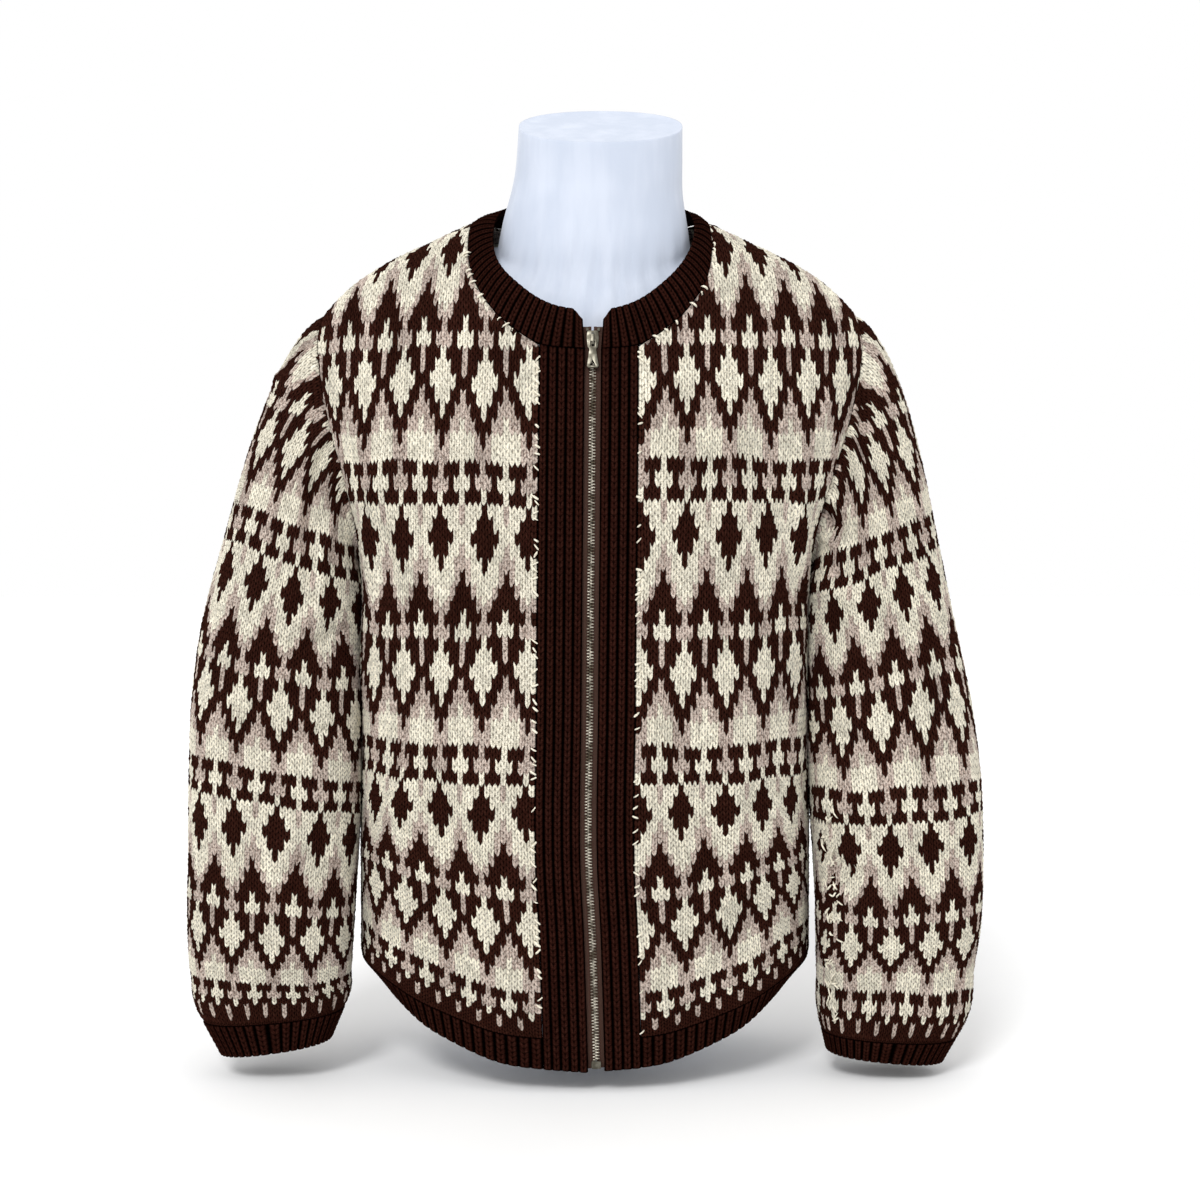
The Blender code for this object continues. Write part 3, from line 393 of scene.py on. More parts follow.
class BodyCloth:
    """Where stitches and rows lie on one side of the body; hand is -1 or 1 for a front and 0 for the back."""

    def __init__(self, side, hand):
        self.side = side
        self.hand = hand
        self.levels = np.linspace(HEM_RIB_TOP, 770, 181)
        self.spans = np.linspace(-330, 330, 331) if hand == 0 else np.linspace(-12, 330, 172)
        turns = np.radians(np.linspace(-90, 90, 721))
        self.x = np.zeros((len(self.levels), len(self.spans)))
        self.low = np.zeros(len(self.levels))
        self.high = np.zeros(len(self.levels))
        for k, level in enumerate(self.levels):
            x = centre(level) + half_width(level) * np.sin(turns)
            wide, round_over = spread(side, x, np.full_like(x, level))
            y = wide * np.sqrt(np.maximum(round_over, 0))
            run = np.concatenate([[0], np.cumsum(np.hypot(np.diff(x), np.diff(y)))])
            start = np.interp(self.edge(level), x, run)
            if hand < 0:
                spans = (start - run)[::-1]
                x = x[::-1]
            else:
                spans = run - start
            self.x[k] = np.interp(self.spans, spans, x)
            self.low[k], self.high[k] = self.limits(level, x, spans)
        self.rows = np.linspace(-92, 62, 309)
        low_levels = (*LOW_ROWS["level"], CHEST_BAND[hand])
        low_rows = (*LOW_ROWS["row"], 0)
        self.level_table = np.zeros((len(self.spans), len(self.rows)))
        self.top = np.zeros(len(self.spans))
        for m in range(len(self.spans)):
            x = self.x[:, m]
            points = body(side, x, self.levels)
            run = np.concatenate([[0], np.cumsum(np.linalg.norm(np.diff(points, axis=0), axis=1))])
            run -= np.interp(CHEST_BAND[hand], self.levels, run)
            row = np.interp(self.levels, low_levels, low_rows)
            chest = SHOULDER_FROM * CHEST_ROW
            above = np.minimum(run, chest) / CHEST_ROW + np.maximum(run - chest, 0) / SHOULDER_ROW
            row = np.where(self.levels > CHEST_BAND[hand], above, row)
            self.level_table[m] = np.interp(self.rows, row, self.levels)
            roof = ridge(np.maximum(np.abs(x), NECK["out"][7]))
            if hand == 0:
                back_neck = np.interp(np.abs(x), NECK["out"][:6:-1], NECK["level"][:6:-1])
                roof = np.where(np.abs(x) < NECK["out"][7], back_neck, roof)
            over = np.argmax(self.levels > roof)
            near = roof[over - 1] - self.levels[over - 1]
            gain = (self.levels[over] - self.levels[over - 1]) - (roof[over] - roof[over - 1])
            share = near / gain
            self.top[m] = row[over - 1] + share * (row[over] - row[over - 1])
        self.bottom = float(np.interp(HEM_RIB_TOP + SEAM / 2, low_levels, low_rows))

    def edge(self, level):
        """The place across where the stitches are counted from."""
        if self.hand == 0:
            return 0.0
        return float(zip_middle(min(level, BAND_TOP + 3))) + self.hand * (BAND_OUTER[self.hand] + SEAM / 2)

    def limits(self, level, x, spans):
        """How far the panel reaches each way at a level, as runs from where stitches are counted."""
        if level < UNDERARM:
            reach = half_width(level)
        else:
            steps = np.linspace(1, 0, 101)
            reach = float(arm_out(np.interp(level, arm_level(steps), steps)))
        order = np.argsort(x)

        def span_at(place):
            return float(np.interp(place, x[order], spans[order]))

        if self.hand == 0:
            return span_at(centre(level) - reach), span_at(centre(level) + reach)
        near = 0.0
        if level > BAND_TOP + 3:
            places = np.linspace(0, RIDGE_PLACE, 121)
            near = span_at(self.hand * np.interp(level, neck["level"](places), neck["out"](places)))
            near = max(near, 0.0)
        return near, span_at(centre(level) + self.hand * reach)

    def place(self, u, v, lean):
        """Points, normals and how whole the stitches are, for stitches u across and rows v up."""
        u, v, lean = np.broadcast_arrays(u, v, lean)
        span = u * PITCH
        level = table_value(self.level_table, self.spans, self.rows, span, v)
        near = np.interp(level, self.levels, self.low)
        far = np.interp(level, self.levels, self.high)
        top = np.interp(span, self.spans, self.top)
        whole = np.minimum(np.minimum(span - near, far - span) / PITCH, np.minimum(top - v, v - self.bottom))
        whole = np.clip(whole, 0, 1)
        row = v + lean * whole
        spot = span
        for _ in range(6):
            held = np.clip(row, self.bottom, np.interp(spot, self.spans, self.top))
            level = table_value(self.level_table, self.spans, self.rows, spot, held)
            near = np.interp(level, self.levels, self.low)
            far = np.interp(level, self.levels, self.high)
            spot = np.clip(span, near, far)
        x = table_value(self.x, self.levels, self.spans, level, spot)
        point = body(self.side, x, level)
        point[..., 1] += self.side * SEAM / 2
        return point, body_normal(self.side, x, level), whole


class SleeveCloth:
    """Where stitches and rows lie on a sleeve."""

    def __init__(self, hand):
        self.hand = hand
        even = np.linspace(0, 2 * math.pi, 721)
        ring = sleeve_ring(hand, np.full_like(even, 0.5), even)
        run = np.concatenate([[0], np.cumsum(np.linalg.norm(np.diff(ring, axis=0), axis=1))])
        self.turns = np.interp(np.linspace(0, run[-1], 4 * SLEEVE_STITCHES, endpoint=False), run, even)
        self.ends = cap_ends(hand, self.turns)
        steps = np.linspace(0, 1, 61)
        points = np.array([cap_point(self.ends, t) for t in steps])
        run = np.concatenate([np.zeros((1, len(self.turns))),
                              np.cumsum(np.linalg.norm(np.diff(points, axis=0), axis=2), axis=0)])
        self.steps = steps
        self.left = run[-1] - run
        table = SLEEVE_ROWS[hand]
        places = np.linspace(0, CUFF_PLACE[hand], 96)
        outer = np.interp(places, table["place"], table["outer"])
        inner = np.interp(places, table["place"], table["inner"])
        self.places = places
        share = (1 + np.cos(self.turns)) / 2
        self.row = outer[:, None] * share + inner[:, None] * (1 - share)
        self.top = self.row[0] + self.left[0] / CAP_ROW
        self.bottom = self.row[-1]

    def place(self, u, v, lean):
        """Points and how whole the stitches are, for stitches u round and rows v up."""
        u, v, lean = np.broadcast_arrays(u, v, lean)
        points = np.zeros(u.shape + (3,))
        wholes = np.zeros(u.shape)
        for a in range(u.shape[0]):
            k = int(round(4 * u[a, 0])) % len(self.turns)
            whole = np.clip(np.minimum(self.top[k] - v[a], v[a] - self.bottom[k]), 0, 1)
            row = np.clip(v[a] + lean[a] * whole, self.bottom[k], self.top[k])
            place = np.interp(-row, -self.row[:, k], self.places)
            turn = np.full_like(row, self.turns[k])
            low = sleeve_ring(self.hand, place, turn)
            step = np.interp((row - self.row[0, k]) * CAP_ROW, self.left[::-1, k], self.steps[::-1])
            ends = [part[k] for part in self.ends]
            high = cap_point(ends, step[:, None])
            points[a] = np.where((row > self.row[0, k])[:, None], high, low)
            wholes[a] = whole
        return points, wholes


def chart_shade(out, row):
    """The shade of a stitch, so many stitches out from a diamond's axis, on a row."""
    if row in LAST_ROWS:
        shade = LAST_ROWS[row][out]
        return SHADES.index(shade) if shade in SHADES else 2
    if row < min(LAST_ROWS):
        return 2
    line = (CHART_BAND - (row + 1) // 2) % len(CHART)
    shade = CHART[line][out]
    lower = row % 2 != 0
    if lower and line == 2 and out == 0:
        shade = "T"
    if lower and line == 17 and out == 4:
        shade = "C"
    return SHADES.index(shade)


def out_from(axis, column):
    """How many stitches out from the nearest diamond's axis a column is."""
    return abs((column - axis + 4) % 8 - 4)


def set_mesh(name, points, faces, shade_of, flat, uvs, yarns, materials, body_name=CLOTH):
    """An object from points in millimetres, with its faces' materials and flatness and both sets of UVs."""
    mesh = bpy.data.meshes.new(name)
    mesh.from_pydata((np.asarray(points) * MM).tolist(), [], faces)
    mesh.polygons.foreach_set("use_smooth", [not f for f in flat])
    mesh.polygons.foreach_set("material_index", shade_of)
    for material in materials:
        mesh.materials.append(material)
    bake = mesh.uv_layers.new(name="OFBake")
    bake.data.foreach_set("uv", np.asarray(uvs, float).ravel())
    if yarns is not None:
        layer = mesh.uv_layers.new(name="Yarn")
        layer.data.foreach_set("uv", np.asarray(yarns, float).ravel())
    mesh.uv_layers.active = bake
    mesh.validate()
    made = bpy.data.objects.new(name, mesh)
    bpy.context.collection.objects.link(made)
    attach(made, body_name)
    return made


def shell(name, base, outer, inner, cells, shades, grid, materials, round_count=0):
    """A closed cloth shell. Its outer grid carries the stitches; inside, two by two stitches are one face."""
    across, up = grid
    a_count, b_count = base.shape[:2]
    closed = round_count > 0
    key = np.round(base.reshape(-1, 3) / 0.004).astype(np.int64)
    key = (key[:, 0] * 2000003 + key[:, 1]) * 2000003 + key[:, 2]
    kept, weld = np.unique(key, return_index=True, return_inverse=True)[1:]
    weld = weld.reshape(a_count, b_count)
    outer = outer.reshape(-1, 3)[kept]
    inner = inner.reshape(-1, 3)[kept]
    u = across.reshape(-1)[kept]
    v = up.reshape(-1)[kept]
    last = a_count if closed else a_count - 1
    i, j = np.meshgrid(np.arange(last), np.arange(b_count - 1), indexing="ij")
    following = (i + 1) % a_count
    corners = [weld[i, j], weld[following, j], weld[following, j + 1], weld[i, j + 1]]
    quads = np.stack(corners, axis=-1).reshape(-1, 4)
    facing = np.cross(outer[quads[:, 2]] - outer[quads[:, 0]], outer[quads[:, 3]] - outer[quads[:, 1]])
    if np.sum(facing * (outer - inner)[quads[:, 0]]) < 0:
        quads = quads[:, ::-1]
    cell = (i // (2 * cells[0]) * b_count + j // (2 * cells[1])).reshape(-1)
    cell_u = (i // cells[0]).reshape(-1)
    shade = shades[i // cells[0], j // cells[1]].reshape(-1)
    repeat = quads == np.roll(quads, -1, axis=1)
    good = (repeat.sum(axis=1) <= 1) & (quads[:, 0] != quads[:, 2]) & (quads[:, 1] != quads[:, 3])
    quads, cell, cell_u, shade, repeat = quads[good], cell[good], cell_u[good], shade[good], repeat[good]
    faces = []
    for quad, doubled in zip(quads.tolist(), repeat.tolist()):
        faces.append([p for p, twice in zip(quad, doubled) if not twice] if any(doubled) else quad)
    owner = {}
    for number, face in enumerate(faces):
        for k, p in enumerate(face):
            owner[(p, face[(k + 1) % len(face)])] = number
    cell = cell.tolist()
    outline = {}
    rims = []
    for (p, q), number in owner.items():
        across_face = owner.get((q, p))
        other = -1 if across_face is None else cell[across_face]
        if other != cell[number]:
            outline.setdefault(cell[number], {})[p] = (q, other)
            if other < 0:
                rims.append((p, q, number))
    count = len(outer)
    first_face = {}
    for number, which in enumerate(cell):
        first_face.setdefault(which, number)
    span_u = float(u.max() - u.min()) if not closed else float(round_count)
    low_u = float(u.min())
    low_v = float(v.min())
    span_v = float(v.max() - low_v)

    def spot(p, number):
        """A point's place on the stitch grid, seen from one face of a tube that joins up."""
        here = u[p]
        if closed and cell_u[number] + 0.5 - here > round_count / 2:
            here += round_count
        return (here - low_u) / span_u, (v[p] - low_v) / span_v

    all_faces = list(faces)
    shade_of = shade.tolist()
    flat = [False] * len(faces)
    uvs = []
    yarns = []
    for number, face in enumerate(faces):
        for p in face:
            s, t = spot(p, number)
            uvs.append((0.005 + 0.60 * s, 0.01 + 0.98 * t))
            yarns.append((s * span_u + low_u, v[p]))
    for which, steps in outline.items():
        number = first_face[which]
        while steps:
            start = next(iter(steps))
            ring = []
            here = start
            while here in steps:
                q, other = steps.pop(here)
                ring.append((here, other))
                here = q
            corners = [ring[k][0] for k in range(len(ring))
                       if ring[k][1] != ring[k - 1][1] or ring[k][1] < 0]
            if here != start or len(corners) < 3:
                continue
            all_faces.append([p + count for p in reversed(corners)])
            shade_of.append(shade_of[number])
            flat.append(False)
            for p in reversed(corners):
                s, t = spot(p, number)
                uvs.append((0.62 + 0.31 * s, 0.01 + 0.98 * t))
                yarns.append((s * span_u + low_u, v[p]))
    for k, (p, q, number) in enumerate(rims):
        all_faces.append([q, p, p + count, q + count])
        shade_of.append(shade_of[number])
        flat.append(True)
        low = 0.01 + 0.98 * k / len(rims)
        high = 0.01 + 0.98 * (k + 0.9) / len(rims)
        uvs += [(0.94, high), (0.94, low), (0.99, low), (0.99, high)]
        yarns += [(0.5, 0.2), (0.5, 0.0), (0.6, 0.0), (0.6, 0.2)]
    points = np.concatenate([outer, inner])
    return set_mesh(name, points, all_faces, shade_of, flat, uvs, yarns, materials)


# One stitch across: places, lean up or down, and height at the joint of two rows and in mid row
STITCH = {
    "place": (0.0, 0.25, 0.5, 0.75),
    "lean": (0.36, 0.0, -0.36, 0.0),
    "joint": (0.0, 0.62, 0.10, 0.62),
    "middle": (0.0, 1.0, 0.16, 1.0),
}
# One rib across, its knit column raised and the rest of it sunk
RIB = {
    "place": (0.0, 0.12, 0.31, 0.5, 0.69, 0.88),
    "lean": (0.0, 0.20, 0.02, -0.34, 0.02, 0.20),
    "joint": (-1.0, 0.35, 0.92, 0.78, 0.92, 0.35),
    "middle": (-1.0, 0.62, 1.30, 0.96, 1.30, 0.62),
}


def stitch_grid(form, first, count, low, high, closed):
    """Places across and up of the points of a field of stitches, their lean and their height."""
    per = len(form["place"])
    columns = count * per + (0 if closed else 1)
    a = np.arange(columns)
    u = first + a // per + np.array(form["place"])[a % per]
    steps = int(round((high - low) * 2))
    b = np.arange(steps + 1)
    v = low + b / 2
    lean = np.array(form["lean"])[a % per][:, None] + 0 * v
    joint = np.array(form["joint"])[a % per][:, None]
    middle = np.array(form["middle"])[a % per][:, None]
    height = np.where(b[None, :] % 2 == 1, middle, joint)
    across = np.repeat(u[:, None], len(v), axis=1)
    up = np.repeat(v[None, :], columns, axis=0)
    return across, up, lean, height, per


def uneven(seed, shape, amount):
    """Small chance differences from stitch to stitch, the same each run."""
    return 1 + amount * np.random.default_rng(seed).uniform(-1, 1, shape)


def creased(point, normal, creases, facing):
    """Points raised and sunk along short lines, on the side that faces the way given, front -1 or back 1."""
    x = point[..., 0]
    z = point[..., 2]
    side = smooth(facing * normal[..., 1] / 0.35)
    total = np.zeros(x.shape)
    for x0, z0, x1, z1, wide, high in creases:
        run = math.hypot(x1 - x0, z1 - z0)
        ahead = ((x - x0) * (x1 - x0) + (z - z0) * (z1 - z0)) / run
        bow = 0.06 * run * np.sin(math.pi * np.clip(ahead / run, 0, 1))
        aside = ((x - x0) * (z1 - z0) - (z - z0) * (x1 - x0)) / run - bow
        past = np.maximum(np.maximum(-ahead, ahead - run), 0)
        share = np.clip(ahead / run, 0, 1)
        fade = np.exp(-((past / (1.6 * wide)) ** 2)) * (0.45 + 0.55 * np.sin(math.pi * share))
        total += high * fade * np.exp(-((aside / wide) ** 2))
    return point + normal * (CREASE_HEIGHT * total * side)[..., None]


def loosened(point, across, up, whole, per, seed, closed):
    """Points shifted a little within the cloth, in slow waves and by chance, so no two stitches match."""
    chance = np.random.default_rng(seed)
    if closed:
        aside = (np.roll(point, -1, axis=0) - np.roll(point, 1, axis=0)) * per / 2
    else:
        aside = np.gradient(point, axis=0) * per
    rise = np.gradient(point, axis=1) * 2
    moved = [np.zeros(whole.shape), np.zeros(whole.shape)]
    for shift, size in ((moved[0], 0.10), (moved[1], 0.16)):
        for rounds, along in WAVES:
            turn = chance.uniform(0, 2 * math.pi)
            shift += size * np.sin(2 * math.pi * rounds * across / SLEEVE_STITCHES + along * up + turn)
        shift += LOOSE * chance.uniform(-1, 1, whole.shape)
    return point + aside * (moved[0] * whole)[..., None] + rise * (moved[1] * whole)[..., None]


def knit(name, cloth, first, count, low, high, axis, seed, materials):
    """A stranded panel: every stitch is a V of two legs in its own shade of yarn."""
    across, up, lean, height, per = stitch_grid(STITCH, first, count, low, high, False)
    point, normal, whole = cloth.place(across, up, lean)
    cell_rows = (across.shape[1] + 1) // 2
    rise = uneven(seed, (count + 1, cell_rows + 1), 0.25)
    rise = np.repeat(np.repeat(rise, per, axis=0), 2, axis=1)[: height.shape[0], : height.shape[1]]
    loose = loosened(point, across, up, whole, per, seed, False)
    loose = creased(loose, normal, FRONT_CREASES if cloth.side < 0 else BACK_CREASES, cloth.side)
    outer = loose + normal * (STITCH_RELIEF * height * rise * (0.25 + 0.75 * whole))[..., None]
    inner = loose - normal * KNIT_WALL
    start = int(math.floor(first))
    shades = np.array([[chart_shade(out_from(axis, column), row) for row in range(int(low), int(high) + 1)]
                       for column in range(start, start + count + 1)])
    return shell(name, point, outer, inner, (per, 2), shades, (across, up), materials)


def knit_sleeve(name, hand, seed, materials):
    """A sleeve knitted round, its repeats meeting unevenly at the seam under the arm."""
    cloth = SleeveCloth(hand)
    low = math.floor(float(cloth.bottom.min()))
    high = math.ceil(float(cloth.top.max()))
    across, up, lean, height, per = stitch_grid(STITCH, 0, SLEEVE_STITCHES, low, high, True)
    point, whole = cloth.place(across, up, lean)
    normal = smooth_normals(point)
    behind = SLEEVE_STITCHES - 1 - SLEEVE_SEAM[hand]
    rise = uneven(seed, (SLEEVE_STITCHES, high - low + 1), 0.25)
    rise = np.repeat(np.repeat(rise, per, axis=0), 2, axis=1)[:, : height.shape[1]]
    loose = loosened(point, across, up, whole, per, seed, True)
    loose = creased(loose, normal, SLEEVE_CREASES[hand], -1)
    loose = creased(loose, normal, SLEEVE_CREASES[hand], 1)
    outer = loose + normal * (STITCH_RELIEF * height * rise * (0.25 + 0.75 * whole))[..., None]
    inner = loose - normal * KNIT_WALL
    shades = np.zeros((SLEEVE_STITCHES, high - low + 1), int)
    for column in range(SLEEVE_STITCHES):
        from_outer = (column + behind) % SLEEVE_STITCHES - behind
        for row in range(low, high + 1):
            shades[column, row - low] = chart_shade(out_from(SLEEVE_AXIS[hand], from_outer), row)
    return shell(name, point, outer, inner, (per, 2), shades, (across, up), materials, SLEEVE_STITCHES)


def smooth_normals(points):
    """Outward normals of a sleeve's points, from wide differences so that clamped rows don't upset them."""
    columns = np.roll(points, -2, axis=0) - np.roll(points, 2, axis=0)
    rows = np.zeros_like(points)
    rows[:, 2:-2] = points[:, 4:] - points[:, :-4]
    rows[:, :2] = rows[:, 2:3]
    rows[:, -2:] = rows[:, -3:-2]
    size = np.linalg.norm(rows, axis=-1)
    for b in range(3, points.shape[1]):
        weak = size[:, b] < 2.0
        rows[weak, b] = rows[weak, b - 1]
        size[weak, b] = size[weak, b - 1]
    for b in range(points.shape[1] - 4, -1, -1):
        weak = size[:, b] < 2.0
        rows[weak, b] = rows[weak, b + 1]
        size[weak, b] = size[weak, b + 1]
    normal = unit(np.cross(columns, rows))
    middle = points.mean(axis=0, keepdims=True)
    return normal * np.sign(np.sum(normal * (points - middle), axis=-1).mean())


def ribs(name, place, count, rows, wall_thick, closed, materials, fade=None):
    """A ribbed strip; place gives base points and normals for ribs across and a share from 0 to 1 up."""
    across, up, lean, height, per = stitch_grid(RIB, 0, count, 0, rows, closed)
    share = np.clip((up + lean * np.where((up > 0) & (up < rows), 1, 0)) / rows, 0, 1)
    point, normal = place(across, share)
    taper = np.ones_like(share) if fade is None else fade(share)
    outer = point + normal * (RIB_RELIEF * height * taper)[..., None]
    inner = point - normal * wall_thick
    shades = np.full((count + 1, int(rows) + 2), 0)
    return shell(name, point, outer, inner, (per, 2), shades, (across, up), materials, count if closed else 0)


def turned_normal(surface, a, b, step_a, step_b, outward):
    """The normal of a surface given as a function of two places, turned to the side of a direction."""
    one = surface(a + step_a, b) - surface(a - step_a, b)
    two = surface(a, b + step_b) - surface(a, b - step_b)
    normal = unit(np.cross(one, two))
    sign = np.sign(np.sum(normal * outward, axis=-1, keepdims=True))
    return normal * np.where(sign == 0, 1, sign)


def hem_strip(side, hand, count):
    """Places of the hem rib below one panel, for ribs across and a share up."""

    def place(u, share):
        level = HEM_LEVEL + share * (HEM_RIB_TOP - SEAM - HEM_LEVEL)
        if side < 0:
            near = zip_middle(level) + hand * (BAND_OUTER[hand] + SEAM / 2)
            start = np.arcsin((near - centre(level)) / half_width(level))
            angle = start + (hand * math.pi / 2 - start) * u / count
        else:
            angle = -math.pi / 2 + math.pi * u / count
        x = centre(level) + half_width(level) * np.sin(angle)
        point = body(side, x, level)
        point[..., 1] += side * SEAM / 2
        return point, body_normal(side, x, level)

    return place


def cuff_strip(hand):
    """Places of a cuff, for ribs round and a share up from its open end."""

    def place(u, share):
        turn = 2 * math.pi * u / CUFF_RIBS
        along = 1 + (CUFF_PLACE[hand] + 0.0005 - 1) * share
        point = sleeve_ring(hand, along, turn)
        back = sleeve_ring(hand, np.minimum(along + 0.004, 1), turn)
        ahead = sleeve_ring(hand, np.minimum(along + 0.004, 1) - 0.008, turn)
        aside = sleeve_ring(hand, along, turn + 0.03) - sleeve_ring(hand, along, turn - 0.03)
        normal = unit(np.cross(aside, ahead - back))
        middle = (sleeve_ring(hand, along, turn) + sleeve_ring(hand, along, turn + math.pi)) / 2
        sign = np.sign(np.sum(normal * (point - middle), axis=-1, keepdims=True))
        return point, normal * sign

    return place


def band_strip(hand):
    """Places of a front band, for ribs out from the zip and a share up."""
    count = BAND_RIBS[hand]
    reach = BAND_OUTER[hand] - SEAM / 2 - BAND_INNER
    places = np.linspace(0, 0.3, 61)

    def place(u, share):
        level = HEM_LEVEL + share * (BAND_TOP - HEM_LEVEL)
        offset = BAND_INNER + reach * u / count
        x = zip_middle(level) + hand * offset
        end = np.abs(zip_middle(BAND_TOP) + hand * offset)
        rise = np.interp(end, neck["out"](places), neck["level"](places)) - BAND_TOP - SEAM
        level = level + rise * smooth((level - 560) / (BAND_TOP - 560))
        return body(-1, x, level, BAND_PROUD + 0 * x), body_normal(-1, x, level)

    return place


def neck_strip(along, share):
    """The neckband's surface: along from -1 to 1 round the neck from the front, share up from its seam."""
    place = 1 - np.abs(along)
    hand = np.where(along < 0, -1, 1)
    x = hand * neck["out"](place)
    level = neck["level"](place)
    front = (place < RIDGE_PLACE)[..., None]
    seam = np.where(front, body(-1, x, level), body(1, x, level))
    seam_normal = np.where(front, body_normal(-1, x, level), body_normal(1, x, level))
    ends = float(zip_middle(640.0)) * (1 - smooth(place / 0.08))
    seam[..., 0] += ends
    shift = NECK_SHIFT * smooth((place - 0.3) / 0.3)
    top = stack(hand * neck["top_out"](place) + shift + ends, neck["top_y"](place), neck["top_level"](place))
    end = 1 - smooth(place / 0.03)
    top = top - (top - seam) * (0.22 * end)[..., None]
    rise = unit(top - seam)
    seam = seam + rise * 0.6
    bow = (8.0 * share * (1 - share))[..., None]
    return seam + (top - seam) * share[..., None] + seam_normal * bow


def neck_place(u, share):
    """Points and normals of the neckband, for ribs round it and a share up."""
    along = -1 + 2 * u / NECK_RIBS
    point = neck_strip(along, share)
    inside = np.array([0.0, -10.0, 560.0])
    step_up = 0.02
    held = np.clip(share, step_up, 1 - step_up)
    normal = turned_normal(neck_strip, np.clip(along, -0.996, 0.996), held, 0.004, step_up, point - inside)
    return point, normal


# The zip
TAPE_EDGE = 1.0
TAPE_OUT = 19.0
TAPE_TOP = 649.0
TAPE_THICK = 0.9
TAPE_ROWS = 100
TAPE_COLUMNS = 6
CHAIN_LOW = 26.0
CHAIN_TOP = 627.4
TOOTH_PITCH = 2.6
TOOTH = {
    "across": (3.1, 1.6, 0.5, -0.9, -1.1, -0.9, 0.5, 1.6, 3.1),
    "up": (0.62, 0.62, 0.42, 0.55, 0.0, -0.55, -0.42, -0.62, -0.62),
}
TOOTH_FRONT = 1.45
TOOTH_BACK = -1.5

# Weave of the tape
WEAVE = {"place": (0.0, 0.5), "lean": (0.0, 0.0), "joint": (0.0, 0.2), "middle": (0.2, 0.0)}


def zip_face(level):
    """How far out of the body surface the front of the zip's tape lies, deeper behind the neckband."""
    return BAND_PROUD - RIB_WALL - SEAM - 0.115 * np.maximum(level - 598, 0)


def tape(name, hand, materials):
    """The woven tape of the zip, with a cord along the edge that carries the teeth."""
    rows = TAPE_ROWS
    count = TAPE_COLUMNS
    across, up, _, height, per = stitch_grid(WEAVE, 0, count, 0, rows, False)
    level = HEM_LEVEL + 2 + (TAPE_TOP - HEM_LEVEL - 2) * up / rows
    offset = TAPE_EDGE + (TAPE_OUT - TAPE_EDGE) * across / count
    x = zip_middle(level) + hand * offset
    normal = body_normal(-1, x, level)
    base = body(-1, x, level, zip_face(level))
    cord = 0.75 * np.exp(-(((offset - 2.1) / 0.75) ** 2))
    outer = base + normal * (cord + 0.15 * height)[..., None]
    inner = base - normal * (TAPE_THICK + 0.4 * cord)[..., None]
    shades = np.zeros((count + 1, rows + 2), int)
    return shell(name, base, outer, inner, (per, 2), shades, (across, up), materials)


def teeth(material):
    """The closed teeth of the zip, left and right by turns, each rounded at its front."""
    levels = np.arange(CHAIN_LOW, CHAIN_TOP - 1, TOOTH_PITCH / 2)
    across = np.array(TOOTH["across"])
    up = np.array(TOOTH["up"])
    count = len(across)
    points = []
    faces = []
    for number, level in enumerate(levels):
        hand = 1 if number % 2 else -1
        middle = float(zip_middle(level))
        spot = body(-1, np.array(middle), np.array(level), zip_face(np.array(level)))
        normal = body_normal(-1, np.array(middle), np.array(level))
        rise = unit(np.cross(normal, np.array([-1.0, 0.0, 0.0])))
        rise = rise * np.sign(rise[2])
        base = len(points)
        for reach, shrink in ((TOOTH_BACK, 1.0), (TOOTH_FRONT - 0.45, 1.0), (TOOTH_FRONT, 0.72)):
            for a, b in zip(across, up):
                side = hand * (1.0 + (a - 1.0) * (0.5 + 0.5 * shrink))
                points.append(spot + np.array([side, 0, 0]) + rise * b * shrink + normal * reach)
        order = 1 if hand > 0 else -1
        for ring in (0, 1):
            for k in range(count):
                n = (k + 1) % count
                low = base + ring * count
                faces.append([low + k, low + n, low + n + count, low + k + count][::order])
        faces.append([base + k for k in range(count)][::-order])
        faces.append([base + 2 * count + k for k in range(count)][::order])
    return plain_object("zip_teeth", points, faces, [material])


def cell_uvs(points, faces):
    """Places on the bake's picture: each face flat in its own square of a grid."""
    points = np.asarray(points, float)
    side = int(math.ceil(math.sqrt(len(faces))))
    uvs = []
    for number, face in enumerate(faces):
        here = points[face]
        one = unit(here[1] - here[0])
        normal = unit(np.cross(here[1] - here[0], here[-1] - here[0]))
        two = np.cross(normal, one)
        flat = np.stack([(here - here[0]) @ one, (here - here[0]) @ two], axis=1)
        flat -= flat.min(axis=0)
        flat /= max(flat.max(), 1e-9)
        column, row = number % side, number // side
        uvs += [((column + 0.1 + 0.8 * s) / side, (row + 0.1 + 0.8 * t) / side) for s, t in flat]
    return uvs


def plain_object(name, points, faces, materials, body_name=CLOTH, flat=False, yarn_spot=None):
    """An object with one material, its faces laid out in squares for the bake."""
    uvs = cell_uvs(points, faces)
    yarns = None if yarn_spot is None else [yarn_spot] * len(uvs)
    count = len(faces)
    return set_mesh(name, points, faces, [0] * count, [flat] * count, uvs, yarns, materials, body_name)


